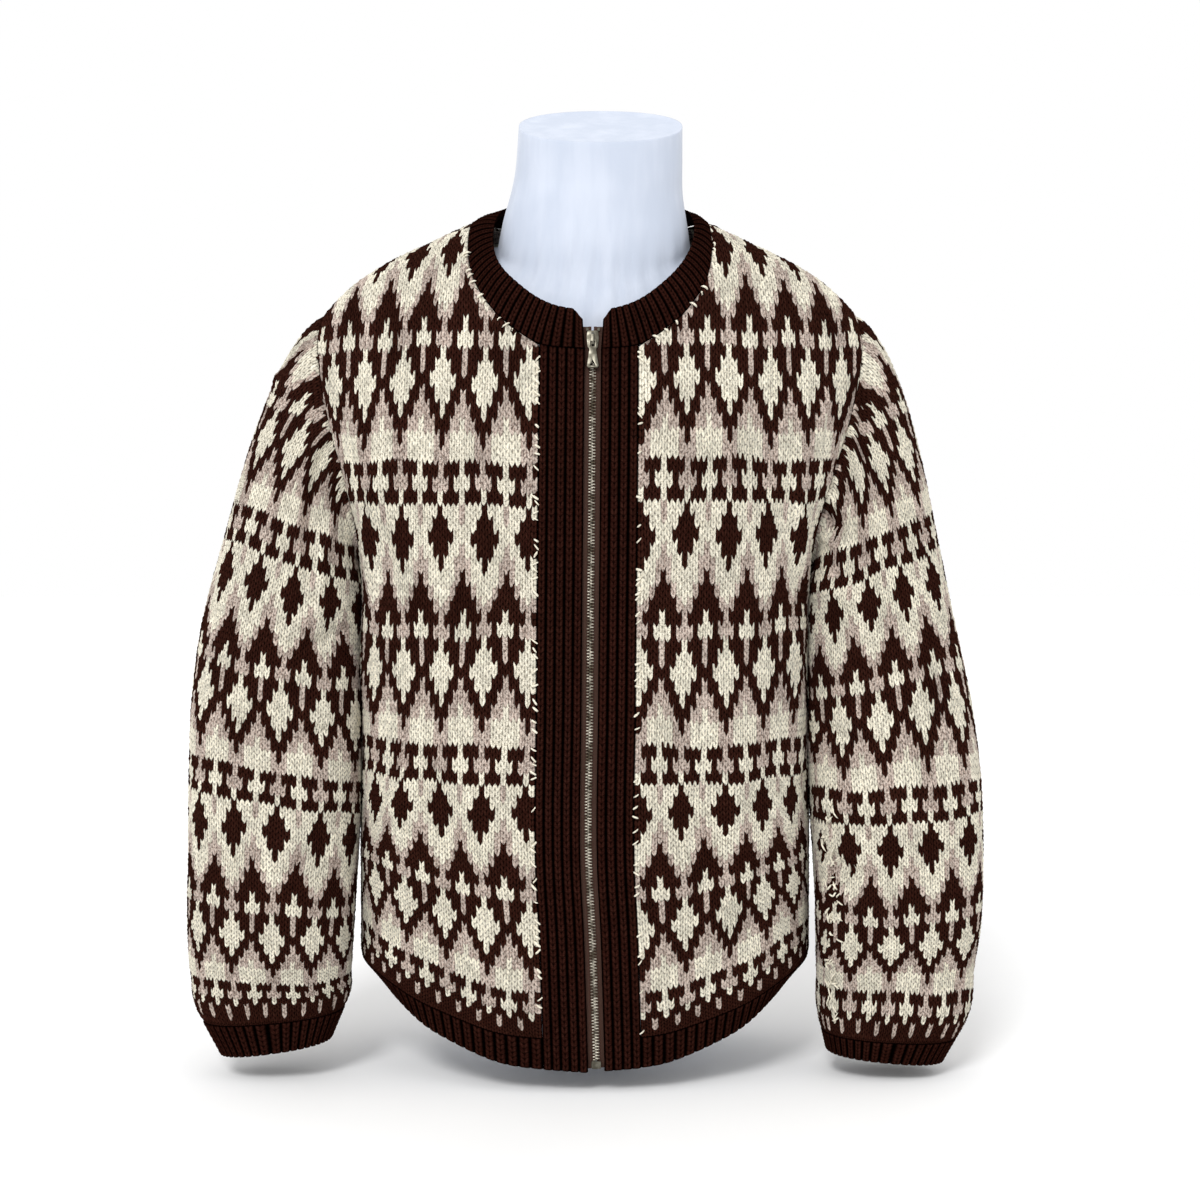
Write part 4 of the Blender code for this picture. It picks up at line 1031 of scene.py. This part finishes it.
def softened(name, node, width, materials, body_name=CLOTH):
    """A hard piece in the shape of a CAD node, its edges rounded."""
    work = bmesh.new()
    work.from_mesh(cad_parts[node].data)
    bmesh.ops.remove_doubles(work, verts=work.verts, dist=1e-6)
    bmesh.ops.dissolve_limit(work, angle_limit=0.03, verts=work.verts, edges=work.edges)
    sharp = [e for e in work.edges if len(e.link_faces) == 2 and e.calc_face_angle() > 0.5]
    bmesh.ops.bevel(work, geom=sharp, offset=width * MM, segments=2, profile=0.6, affect="EDGES",
                    clamp_overlap=True)
    bmesh.ops.triangulate(work, faces=[f for f in work.faces if len(f.verts) > 4])
    work.verts.index_update()
    points = [tuple(c / MM for c in v.co) for v in work.verts]
    faces = [[v.index for v in f.verts] for f in work.faces]
    work.free()
    made = plain_object(name, points, faces, materials, body_name)
    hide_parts(node)
    return made


# The dress form, by level
FORM = {
    "level": (0, 8, 60, 130, 210, 300, 390, 450, 520, 580, 625, 660, 690, 715),
    "half_width": (58, 62, 96, 146, 176, 172, 184, 190, 194, 197, 199, 200, 199, 196),
    "front": (52, 54, 74, 96, 108, 110, 118, 125.6, 126.2, 125.4, 123, 120.5, 118, 116),
    "back": (52, 54, 70, 90, 104, 98, 106, 113, 117.4, 118.4, 118.4, 118, 117, 115),
    "centre_y": (14, 14, 8, 2, 0, 0, 0, 0, 0, 0, 0, 0, 0, 0),
}
FORM_RIDGE = {
    "out": (0, 40, 70, 95, 112, 140, 180, 200, 260),
    "level": (708, 709, 712, 718, 723, 717.8, 698.4, 688, 622),
}
FORM_NECK = {
    "level": (640, 700, 730, 748, 768, 795, 812),
    "half_width": (96, 89, 84.8, 81.5, 77, 74, 73),
    "front": (66, 65, 63, 61, 58, 54, 52),
    "back": (60, 60, 59, 58, 56, 52, 50),
    "centre_x": (2, 3, 4, 4.5, 6, 8.5, 9.5),
    "centre_y": (0, 0, 0, 0, -2, -5, -6),
}
CAP_TILT = 0.42
FORM_INSET = 0.6
FORM_COLUMNS = 132
# Soft pulls of the jersey, by angle round the neck from the front, in degrees
PULLS = {
    "angle": (-62, -48, -37, -27, -19, -11, -3, 5, 14, 24, 33, 45, 58),
    "deep": (1.3, 1.9, 2.4, 2.0, 2.6, 1.5, 1.8, 1.2, 1.7, 1.0, 1.6, 1.2, 1.3),
    "top": (748, 742, 752, 735, 760, 730, 745, 722, 750, 728, 735, 745, 758),
    "wide": (3.2, 2.6, 3.0, 2.2, 2.8, 2.0, 2.6, 2.0, 3.0, 2.2, 2.6, 3.0, 2.6),
}


def form_trunk(angle, level):
    """How far the form's trunk reaches from its middle line, found by halving."""
    cap = curve(FORM_RIDGE, "level", "out")
    get = {name: curve(FORM, name, "level")(level) for name in FORM if name != "level"}
    front = np.sin(angle) < 0
    rounding = np.where(front, SHOULDER_ROUND[-1], SHOULDER_ROUND[1])
    deep_at = np.where(front, get["front"], get["back"])
    low = np.zeros_like(level)
    high = np.full_like(level, 260.0)
    for _ in range(30):
        reach = (low + high) / 2
        x = np.abs(reach * np.cos(angle))
        y = np.abs(reach * np.sin(angle))
        below = np.minimum((cap(x) - level) / rounding, 1.0)
        deep = deep_at * np.sqrt(np.maximum(below * (2 - below), 0))
        filled_deep = np.where(deep > 0.01, (y / np.maximum(deep, 0.01)) ** 2.4, 9.0)
        filled = (x / get["half_width"]) ** 2.6 + filled_deep
        low = np.where(filled < 1, reach, low)
        high = np.where(filled < 1, high, reach)
    return (low + high) / 2


def dress_form(material):
    """The limbless form in white jersey: hips, chest, shoulders and a neck with a tilted cap."""
    columns = FORM_COLUMNS
    levels = np.concatenate([[0, 4, 8], np.arange(20, 600, 20), np.arange(606, 812, 3.2), [812]])
    angle, level = np.meshgrid(np.linspace(0, 2 * math.pi, columns, endpoint=False), levels)
    get = {name: curve(FORM_NECK, name, "level")(level) for name in FORM_NECK if name != "level"}
    side_depth = np.where(np.sin(angle) < 0, get["front"], get["back"])
    power = 2.2
    sideways = np.abs(np.cos(angle) / get["half_width"]) ** power
    neck_reach = (sideways + np.abs(np.sin(angle) / side_depth) ** power) ** (-1 / power)
    join = smooth((level - 600) / 60)
    mixed = (form_trunk(angle, level) ** 6 + (join * neck_reach) ** 6) ** (1 / 6)
    reach = np.where(level < 735, mixed, neck_reach) - FORM_INSET
    reach = reach + pulls(angle, level)
    high = smooth((level - 640) / 90)
    x = reach * np.cos(angle) + get["centre_x"] * high
    y = reach * np.sin(angle) + get["centre_y"] * high + curve(FORM, "centre_y", "level")(level)
    tilt = CAP_TILT * smooth((level - 752) / 55)
    z = level + tilt * (y + 8) + 16 * smooth((level - 785) / 27)
    rings = list(stack(x, y, z))
    last = rings[-1]
    middle = last.mean(axis=0)
    for share, drop in ((0.985, -0.9), (0.95, -1.6), (0.9, -1.9), (0.6, -2.0), (0.3, -2.0)):
        rings.append(middle + (last - middle) * share + np.array([0, 0, 1.0]) * (drop + 0.9))
    rings = np.array(rings)
    count = len(rings)
    faces = []
    uvs = []
    for i in range(count - 1):
        for j in range(columns):
            k = (j + 1) % columns
            faces.append([i * columns + j, i * columns + k, (i + 1) * columns + k, (i + 1) * columns + j])
            low, top = 0.04 + 0.95 * i / count, 0.04 + 0.95 * (i + 1) / count
            left, right = j / columns, (j + 1) / columns
            uvs += [(left, low), (right, low), (right, top), (left, top)]
    faces.append(list(range(columns))[::-1])
    faces.append([(count - 1) * columns + j for j in range(columns)])
    for centre_u in (0.1, 0.3):
        for j in range(columns):
            turn = 2 * math.pi * j / columns
            uvs.append((centre_u + 0.015 * math.cos(turn), 0.018 + 0.015 * math.sin(turn)))
    flat = [False] * (len(faces) - 2) + [True, False]
    points = rings.reshape(-1, 3)
    made = set_mesh("form_jersey", points, faces, [0] * len(faces), flat, uvs, None, [material])
    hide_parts("dress_form")
    return made


def pulls(angle, level):
    """Low upright ridges where the jersey is drawn down into the neck opening."""
    from_front = np.degrees(np.arctan2(np.cos(angle), -np.sin(angle)))
    total = np.zeros_like(level)
    for k, place in enumerate(PULLS["angle"]):
        lean = (level - 700) * 0.04
        near = np.exp(-(((from_front - place - lean) / PULLS["wide"][k]) ** 2))
        fade = smooth((PULLS["top"][k] - level) / 60) * smooth((level - 606) / 20)
        total += PULLS["deep"][k] * near * fade
    return total


class Looks:
    """A material and short ways to add nodes to it."""

    def __init__(self, name):
        self.made = bpy.data.materials.new(name)
        self.made.use_nodes = True
        self.tree = self.made.node_tree
        self.shader = self.tree.nodes["Principled BSDF"]

    def node(self, kind, settings=(), **inputs):
        """A node with its settings, its inputs given as numbers or as other nodes' outputs."""
        made = self.tree.nodes.new(kind)
        for key, value in settings:
            setattr(made, key, value)
        for key, value in inputs.items():
            socket = made.inputs[int(key[1:])] if key[0] == "_" else made.inputs[key]
            self.feed(socket, value)
        return made

    def feed(self, socket, value):
        """Links an output to a socket, or sets its number or colour."""
        if isinstance(value, bpy.types.NodeSocket):
            self.tree.links.new(value, socket)
        else:
            socket.default_value = value

    def math(self, operation, *values):
        """One step of arithmetic."""
        inputs = {"_%d" % k: value for k, value in enumerate(values)}
        return self.node("ShaderNodeMath", [("operation", operation)], **inputs).outputs[0]

    def noise(self, scale, detail=2.0, place=None):
        """Chance values from a noise in the object's own metres."""
        if place is None:
            place = self.node("ShaderNodeTexCoord").outputs["Object"]
        return self.node("ShaderNodeTexNoise", Vector=place, Scale=scale, Detail=detail).outputs["Fac"]

    def mix(self, share, one, two, way="MIX"):
        """A colour between two others."""
        made = self.node("ShaderNodeMix", [("data_type", "RGBA"), ("blend_type", way)])
        for index, value in ((0, share), (6, one), (7, two)):
            self.feed(made.inputs[index], value)
        return made.outputs[2]

    def ranged(self, value, low, high, to_low, to_high):
        """A value stretched from one range to another and held there."""
        made = self.node("ShaderNodeMapRange", [("interpolation_type", "SMOOTHSTEP")])
        for index, number in enumerate((value, low, high, to_low, to_high)):
            self.feed(made.inputs[index], number)
        return made.outputs[0]

    def bump(self, height, distance, strength=1.0, under=None):
        """Relief from a height between 0 and 1."""
        made = self.node("ShaderNodeBump", Height=height, Distance=distance, Strength=strength)
        if under is not None:
            self.feed(made.inputs["Normal"], under)
        return made.outputs["Normal"]

    def finish(self, **inputs):
        """Sets the shader's sockets, whose names are written with low lines for spaces."""
        for key, value in inputs.items():
            self.feed(self.shader.inputs[key.replace("_", " ")], value)
        return self.made


def grey(value):
    """A colour of one value."""
    return (value, value, value, 1)


def yarn(name, colour, flecks, fleck_share, groove_shade_depth, sheen, rib_shade_depth=0.0):
    """Wool yarn: flecked plies that twist along each leg of a stitch, with painted shade in the grooves
    between;
    the last argument is how dark the painted shade in the sunk columns between ribs is."""
    look = Looks(name)
    uv = look.node("ShaderNodeUVMap", [("uv_map", "Yarn")]).outputs["UV"]
    parts = look.node("ShaderNodeSeparateXYZ", Vector=uv).outputs
    u, v = parts[0], parts[1]
    fibres = look.noise(1400, 3.0)
    hairs = look.noise(520, 4.0)
    patches = look.noise(26, 2.0)
    from_middle = look.math("ABSOLUTE", look.math("SUBTRACT", look.math("FRACT", u), 0.5))
    leg = look.math("MULTIPLY", look.math("ABSOLUTE", look.math("SUBTRACT", from_middle, 0.25)), 4.0)
    from_row = look.math("ABSOLUTE", look.math("SUBTRACT", look.math("FRACT", v), 0.5))
    joint = look.math("MULTIPLY", from_row, 2.0)
    rounding = look.math("ADD", look.math("POWER", leg, 2.0), look.math("POWER", joint, 2.5))
    rounding = look.math("ADD", rounding, look.ranged(hairs, 0.3, 0.7, -0.3, 0.3))
    # Painted shade: how far a point lies in the groove between the legs and rows of stitches, 0 to 1
    painted_groove_shade = look.ranged(rounding, 0.42, 1.35, 0.0, 1.0)
    cell = look.node("ShaderNodeCombineXYZ", X=look.math("FLOOR", look.math("MULTIPLY", u, 2.0)),
                     Y=look.math("FLOOR", v)).outputs[0]
    chance = look.node("ShaderNodeTexWhiteNoise", [("noise_dimensions", "3D")], Vector=cell).outputs["Value"]
    fleck = look.ranged(hairs, 0.40, 0.64, 0.0, fleck_share)
    colour = look.mix(fleck, (*colour, 1), (*flecks, 1))
    stitch_value = look.ranged(chance, 0, 1, 0.86, 1.12)
    value = look.math("ADD", stitch_value, look.ranged(fibres, 0.3, 0.7, -0.12, 0.12))
    value = look.math("ADD", value, look.ranged(patches, 0.35, 0.65, -0.05, 0.05))
    # Painted shade: the colour darkened in the grooves between stitches
    value = look.math("MULTIPLY", value, look.math("SUBTRACT", 1.0, look.math("MULTIPLY", painted_groove_shade, groove_shade_depth)))
    # Painted shade: the sunk columns between ribs darkened
    if rib_shade_depth:
        sunk = look.ranged(from_middle, 0.20, 0.45, 0.0, rib_shade_depth)
        value = look.math("MULTIPLY", value, look.math("SUBTRACT", 1.0, sunk))
    shade = look.node("ShaderNodeCombineColor", Red=value, Green=value, Blue=value).outputs[0]
    colour = look.mix(1.0, colour, shade, "MULTIPLY")
    twist = look.math("ADD", look.math("MULTIPLY", v, 3.0), look.math("MULTIPLY", from_middle, 5.0))
    plies = look.math("ABSOLUTE", look.math("SINE", look.math("MULTIPLY", twist, math.pi)))
    relief = look.bump(plies, 0.35 * MM, 0.8)
    relief = look.bump(fibres, 0.30 * MM, 0.9, relief)
    relief = look.bump(hairs, 0.55 * MM, 0.6, relief)
    return look.finish(Base_Color=colour, Roughness=0.92, Normal=relief, Sheen_Weight=sheen,
                       Sheen_Roughness=0.6, Specular_IOR_Level=0.0)


def woven(name, colour, lighter):
    """Close woven tape with a slight gloss."""
    look = Looks(name)
    place = look.node("ShaderNodeTexCoord").outputs["Object"]
    parts = look.node("ShaderNodeSeparateXYZ", Vector=place).outputs
    over = look.math("SINE", look.math("MULTIPLY", parts[2], 2 * math.pi / (0.9 * MM)))
    across = look.math("SINE", look.math("MULTIPLY", parts[0], 2 * math.pi / (0.8 * MM)))
    weave = look.math("ADD", look.math("MULTIPLY", look.math("MULTIPLY", over, across), 0.5), 0.5)
    threads = look.noise(900, 3.0)
    share = look.math("MULTIPLY", look.math("ADD", weave, threads), 0.5)
    colour = look.mix(share, (*colour, 1), (*lighter, 1))
    relief = look.bump(weave, 0.22 * MM, 0.8)
    relief = look.bump(threads, 0.1 * MM, 0.5, relief)
    return look.finish(Base_Color=colour, Roughness=0.85, Normal=relief, Specular_IOR_Level=0.1)


def metal(name, bright, dull, rough):
    """Old cast metal, dull and worn bright in patches."""
    look = Looks(name)
    patches = look.noise(160, 4.0)
    specks = look.noise(1800, 3.0)
    worn = look.ranged(patches, 0.38, 0.62, 0.0, 1.0)
    colour = look.mix(worn, (*dull, 1), (*bright, 1))
    speck = look.ranged(specks, 0.55, 0.75, 0.0, 0.45)
    colour = look.mix(speck, colour, (dull[0] * 0.5, dull[1] * 0.5, dull[2] * 0.5, 1))
    roughness = look.ranged(patches, 0.3, 0.7, rough + 0.14, rough)
    relief = look.bump(specks, 0.05 * MM, 0.6)
    return look.finish(Base_Color=colour, Roughness=roughness, Metallic=1.0, Normal=relief)


def jersey(name):
    """Fine white jersey pulled smooth over the form."""
    look = Looks(name)
    place = look.node("ShaderNodeTexCoord").outputs["Object"]
    parts = look.node("ShaderNodeSeparateXYZ", Vector=place).outputs
    wales = look.math("SINE", look.math("MULTIPLY", parts[0], 2 * math.pi / (0.8 * MM)))
    rows = look.math("SINE", look.math("MULTIPLY", parts[2], 2 * math.pi / (0.6 * MM)))
    knitted = look.math("ADD", look.math("MULTIPLY", look.math("ADD", wales, rows), 0.25), 0.5)
    stretched = look.node("ShaderNodeMapping", Vector=place, Scale=(60, 60, 9)).outputs[0]
    streaks = look.noise(1.0, 3.0, stretched)
    cloudy = look.noise(14, 2.0)
    share = look.math("MULTIPLY", look.math("ADD", streaks, cloudy), 0.5)
    colour = look.mix(look.ranged(share, 0.38, 0.62, 0.0, 1.0), (0.50, 0.55, 0.65, 1), (0.57, 0.615, 0.71, 1))
    relief = look.bump(streaks, 2.0 * MM, 0.5)
    relief = look.bump(knitted, 0.08 * MM, 0.4, relief)
    return look.finish(Base_Color=colour, Roughness=0.72, Normal=relief, Sheen_Weight=0.25,
                       Sheen_Roughness=0.45, Specular_IOR_Level=0.3)


def slotted(piece, slot, *nodes):
    """Hides the CAD nodes that a piece stands for and returns the piece; its slot is not used."""
    if nodes:
        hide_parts(*nodes)
    return piece


def whip_stitches(hand, material):
    """Cream strands that show where a front band and the neckband are sewn to their front panel."""
    count = 96
    chance = np.random.default_rng(40 + hand)
    levels = np.linspace(HEM_RIB_TOP + 3, BAND_TOP - 1, count) + chance.uniform(-1.5, 1.5, count)
    shown = chance.uniform(0, 1, count) < 0.42
    points = []
    faces = []
    for level, seen in zip(levels, shown):
        if not seen:
            continue
        reach = chance.uniform(1.6, 3.6)
        rise = chance.uniform(0.8, 3.4) * (1 if chance.uniform() < 0.75 else -1)
        thick = chance.uniform(0.65, 1.15)
        offset = BAND_OUTER[hand] + chance.uniform(0.2, 1.6)
        path = []
        for share in np.linspace(-1, 1, 5):
            at_level = np.array(level + rise * share)
            x = zip_middle(at_level) + hand * (offset + reach * share)
            lift = 2.2 * (1 - share * share) - 0.2
            path.append(body(-1, x, at_level, np.array(lift)))
        add_tube(points, faces, np.array(path), thick, 5)
    for place in np.linspace(0.14, 0.52, 17):
        if chance.uniform() < 0.4:
            continue
        place = place + chance.uniform(-0.008, 0.008)
        reach = chance.uniform(1.6, 3.4)
        aside = chance.uniform(-2.2, 2.2)
        thick = chance.uniform(0.65, 1.1)
        path = []
        for share in np.linspace(-1, 1, 5):
            x = hand * (neck["out"](np.array(place)) + 1.2 + reach * share * 0.7) + aside * share
            at_level = neck["level"](np.array(place)) - 1.0 - reach * share * 0.7
            path.append(body(-1, x, at_level, np.array(2.4 * (1 - share * share) - 0.2)))
        add_tube(points, faces, np.array(path), thick, 5)
    return plain_object("seam_yarn_%s" % LABEL[hand], points, faces, [material], yarn_spot=(0.25, 0.5))


def pulled_loops(hand, material):
    """Loops of loose cream yarn along a sleeve's seam, where it turns towards the front."""
    cloth = SleeveCloth(hand)
    chance = np.random.default_rng(71)
    outward = unit(np.array([-0.45 * hand, -0.9, 0.0]))
    share = np.linspace(-1, 1, 7)
    points = []
    faces = []
    for _ in range(PULLED_LOOPS):
        column = SLEEVE_SEAM[hand] - chance.uniform(0.2, 4.2)
        row = chance.uniform(-88, -42)
        across = column + chance.uniform(0.3, 1.0) * share
        up = row + chance.uniform(-1.3, 1.3) * share
        path = cloth.place(across[:, None], up[:, None], np.zeros((1, 1)))[0][:, 0]
        path = path + outward * (chance.uniform(1.6, 3.4) * (1 - share ** 2) + 0.9)[:, None]
        add_tube(points, faces, path, chance.uniform(0.6, 1.0), 5)
    name = "loose_yarn_%s" % LABEL[hand]
    return plain_object(name, points, faces, [material], yarn_spot=(0.25, 0.5))


def add_tube(points, faces, path, thick, sides):
    """A round strand along a path, tapered at both ends, added to lists of points and faces."""
    ahead = unit(np.gradient(path, axis=0))
    up = unit(np.cross(ahead, np.array([0.3, 0.1, 1.0])))
    other = np.cross(ahead, up)
    turn = np.linspace(0, 2 * math.pi, sides, endpoint=False)
    base = len(points)
    share = np.linspace(-1, 1, len(path))
    size = thick * np.maximum(1 - np.abs(share) ** 4, 0.25)
    for k in range(len(path)):
        for t in turn:
            points.append(path[k] + size[k] * (math.cos(t) * up[k] + math.sin(t) * other[k]))
    for k in range(len(path) - 1):
        for m in range(sides):
            n = (m + 1) % sides
            low = base + k * sides
            faces.append([low + m, low + n, low + sides + n, low + sides + m])
    faces.append([base + m for m in range(sides)][::-1])
    faces.append([base + (len(path) - 1) * sides + m for m in range(sides)])


LABEL = {-1: "left", 1: "right"}
FRONT_COUNT = {-1: 48, 1: 50}
AXIS = {-1: 1, 1: 0}

# Fifth argument: depth of the painted shade in the grooves; the rib's last: painted shade in its sunk columns
cream = yarn("yarn_cream", (0.84, 0.79, 0.655), (0.62, 0.555, 0.43), 0.6, 0.66, 0.06)
taupe = yarn("yarn_taupe", (0.62, 0.52, 0.45), (0.30, 0.215, 0.175), 0.85, 0.66, 0.06)
brown = yarn("yarn_brown", (0.026, 0.0078, 0.0052), (0.052, 0.020, 0.013), 0.5, 0.9, 0.0)
rib_brown = yarn("rib_brown", (0.0195, 0.0055, 0.0037), (0.042, 0.015, 0.010), 0.5, 0.85, 0.0, 0.95)
tape_cloth = woven("zip_tape_cloth", (0.040, 0.019, 0.0135), (0.082, 0.045, 0.034))
teeth_metal = metal("zip_teeth_metal", (0.50, 0.46, 0.38), (0.10, 0.08, 0.056), 0.26)
slider_metal = metal("zip_slider_metal", (0.155, 0.145, 0.115), (0.085, 0.078, 0.06), 0.30)
white_jersey = jersey("form_white_jersey")
KNIT_MATERIALS = [cream, taupe, brown]

for hand in (-1, 1):
    cloth = BodyCloth(-1, hand)
    low = math.floor(cloth.bottom)
    high = math.ceil(cloth.top.max())
    label = LABEL[hand]
    made = knit("knit_front_" + label, cloth, 0, FRONT_COUNT[hand], low, high, AXIS[hand], 10 + hand,
                KNIT_MATERIALS)
    slotted(made, "patterned_knit", "front_" + label)
    made = knit_sleeve("knit_sleeve_" + label, hand, 20 + hand, KNIT_MATERIALS)
    slotted(made, "patterned_knit", "sleeve_" + label)
    place = hem_strip(-1, hand, FRONT_HEM_RIBS)
    made = ribs("rib_hem_" + label, place, FRONT_HEM_RIBS, EDGE_ROWS, RIB_WALL, False, [rib_brown])
    slotted(made, "brown_rib", "hem_" + label)
    made = ribs("rib_cuff_" + label, cuff_strip(hand), CUFF_RIBS, EDGE_ROWS, KNIT_WALL, True, [rib_brown])
    slotted(made, "brown_rib", "cuff_" + label)
    place = band_strip(hand)
    made = ribs("rib_band_" + label, place, BAND_RIBS[hand], BAND_ROWS, RIB_WALL, False, [rib_brown])
    slotted(made, "brown_rib", "front_band_" + label)
    made = tape("tape_" + label, hand, [tape_cloth])
    slotted(made, "zip_tape", "zip_tape_" + label)
    slotted(whip_stitches(hand, cream), "patterned_knit")
slotted(pulled_loops(1, cream), "patterned_knit")

cloth = BodyCloth(1, 0)
low = math.floor(cloth.bottom)
high = math.ceil(cloth.top.max())
for label, first, count in (("left", -58.5, 58), ("right", -0.5, 58)):
    made = knit("knit_back_" + label, cloth, first, count, low, high, -1, 30, KNIT_MATERIALS)
    slotted(made, "patterned_knit", "back")
place = hem_strip(1, 0, BACK_HEM_RIBS)
made = ribs("rib_hem_back", place, BACK_HEM_RIBS, EDGE_ROWS, RIB_WALL, False, [rib_brown])
slotted(made, "brown_rib", "hem_back")


def neck_fade(share):
    """The neckband's ribs flatten where its free edge turns in."""
    return 1 - 0.6 * smooth((share - 0.55) / 0.45)


made = ribs("rib_neckband", neck_place, NECK_RIBS, NECK_ROWS, RIB_WALL, False, [rib_brown], neck_fade)
slotted(made, "brown_rib", "neckband")

slotted(teeth(teeth_metal), "zip_metal", "zip_chain")
for name, node, width, rides in (
    ("slider_soft", "zip_slider", 0.35, CLOTH), ("pull_tab_soft", "zip_pull_tab", 0.3, "pull_tab"),
    ("top_stop_soft_left", "zip_top_stop_left", 0.3, CLOTH),
    ("top_stop_soft_right", "zip_top_stop_right", 0.3, CLOTH),
    ("bottom_box_soft", "zip_bottom_box", 0.4, CLOTH),
):
    slotted(softened(name, node, width, [slider_metal], rides), "zip_metal")
slotted(dress_form(white_jersey), "jersey")


def studio():
    """A pale floor, a white surround, one soft lamp and the camera."""
    look = Looks("floor_pale")
    cloudy = look.noise(3, 2.0)
    colour = look.mix(look.ranged(cloudy, 0.3, 0.7, 0.0, 1.0), grey(0.90), grey(0.93))
    look.finish(Base_Color=colour, Roughness=0.85)
    mesh = bpy.data.meshes.new("floor")
    wide = 6.0
    corners = [(-wide, -wide, -0.001), (wide, -wide, -0.001), (wide, wide, -0.001), (-wide, wide, -0.001)]
    mesh.from_pydata(corners, [], [(0, 1, 2, 3)])
    mesh.materials.append(look.made)
    floor = bpy.data.objects.new("floor", mesh)
    bpy.context.collection.objects.link(floor)
    world = bpy.data.worlds.new("studio")
    world.use_nodes = True
    world.node_tree.nodes["Background"].inputs["Color"].default_value = (1, 1, 1, 1)
    world.node_tree.nodes["Background"].inputs["Strength"].default_value = 1.0
    bpy.context.scene.world = world
    bpy.context.scene.view_settings.view_transform = "Standard"
    lamp = bpy.data.lights.new("softbox", "SUN")
    lamp.energy = 1.5
    lamp.angle = math.radians(18)
    sun = bpy.data.objects.new("softbox", lamp)
    sun.rotation_euler = Vector((-0.25, -0.72, 0.75)).to_track_quat("Z", "Y").to_euler()
    bpy.context.collection.objects.link(sun)

    lens = bpy.data.cameras.new("camera")
    lens.sensor_width = 36.0
    lens.lens = lens.sensor_width * FOCAL_PIXELS / FRAME_PIXELS
    lens.shift_y = -SHIFT_PIXELS / FRAME_PIXELS
    camera = bpy.data.objects.new("camera", lens)
    camera.location = Vector(EYE) * MM
    tilt = math.atan(RISE_PIXELS / FOCAL_PIXELS)
    turn = -math.atan(SIDE_PIXELS / FOCAL_PIXELS)
    camera.rotation_euler = (math.pi / 2 - tilt, 0, turn)
    bpy.context.collection.objects.link(camera)
    bpy.context.scene.camera = camera


studio()
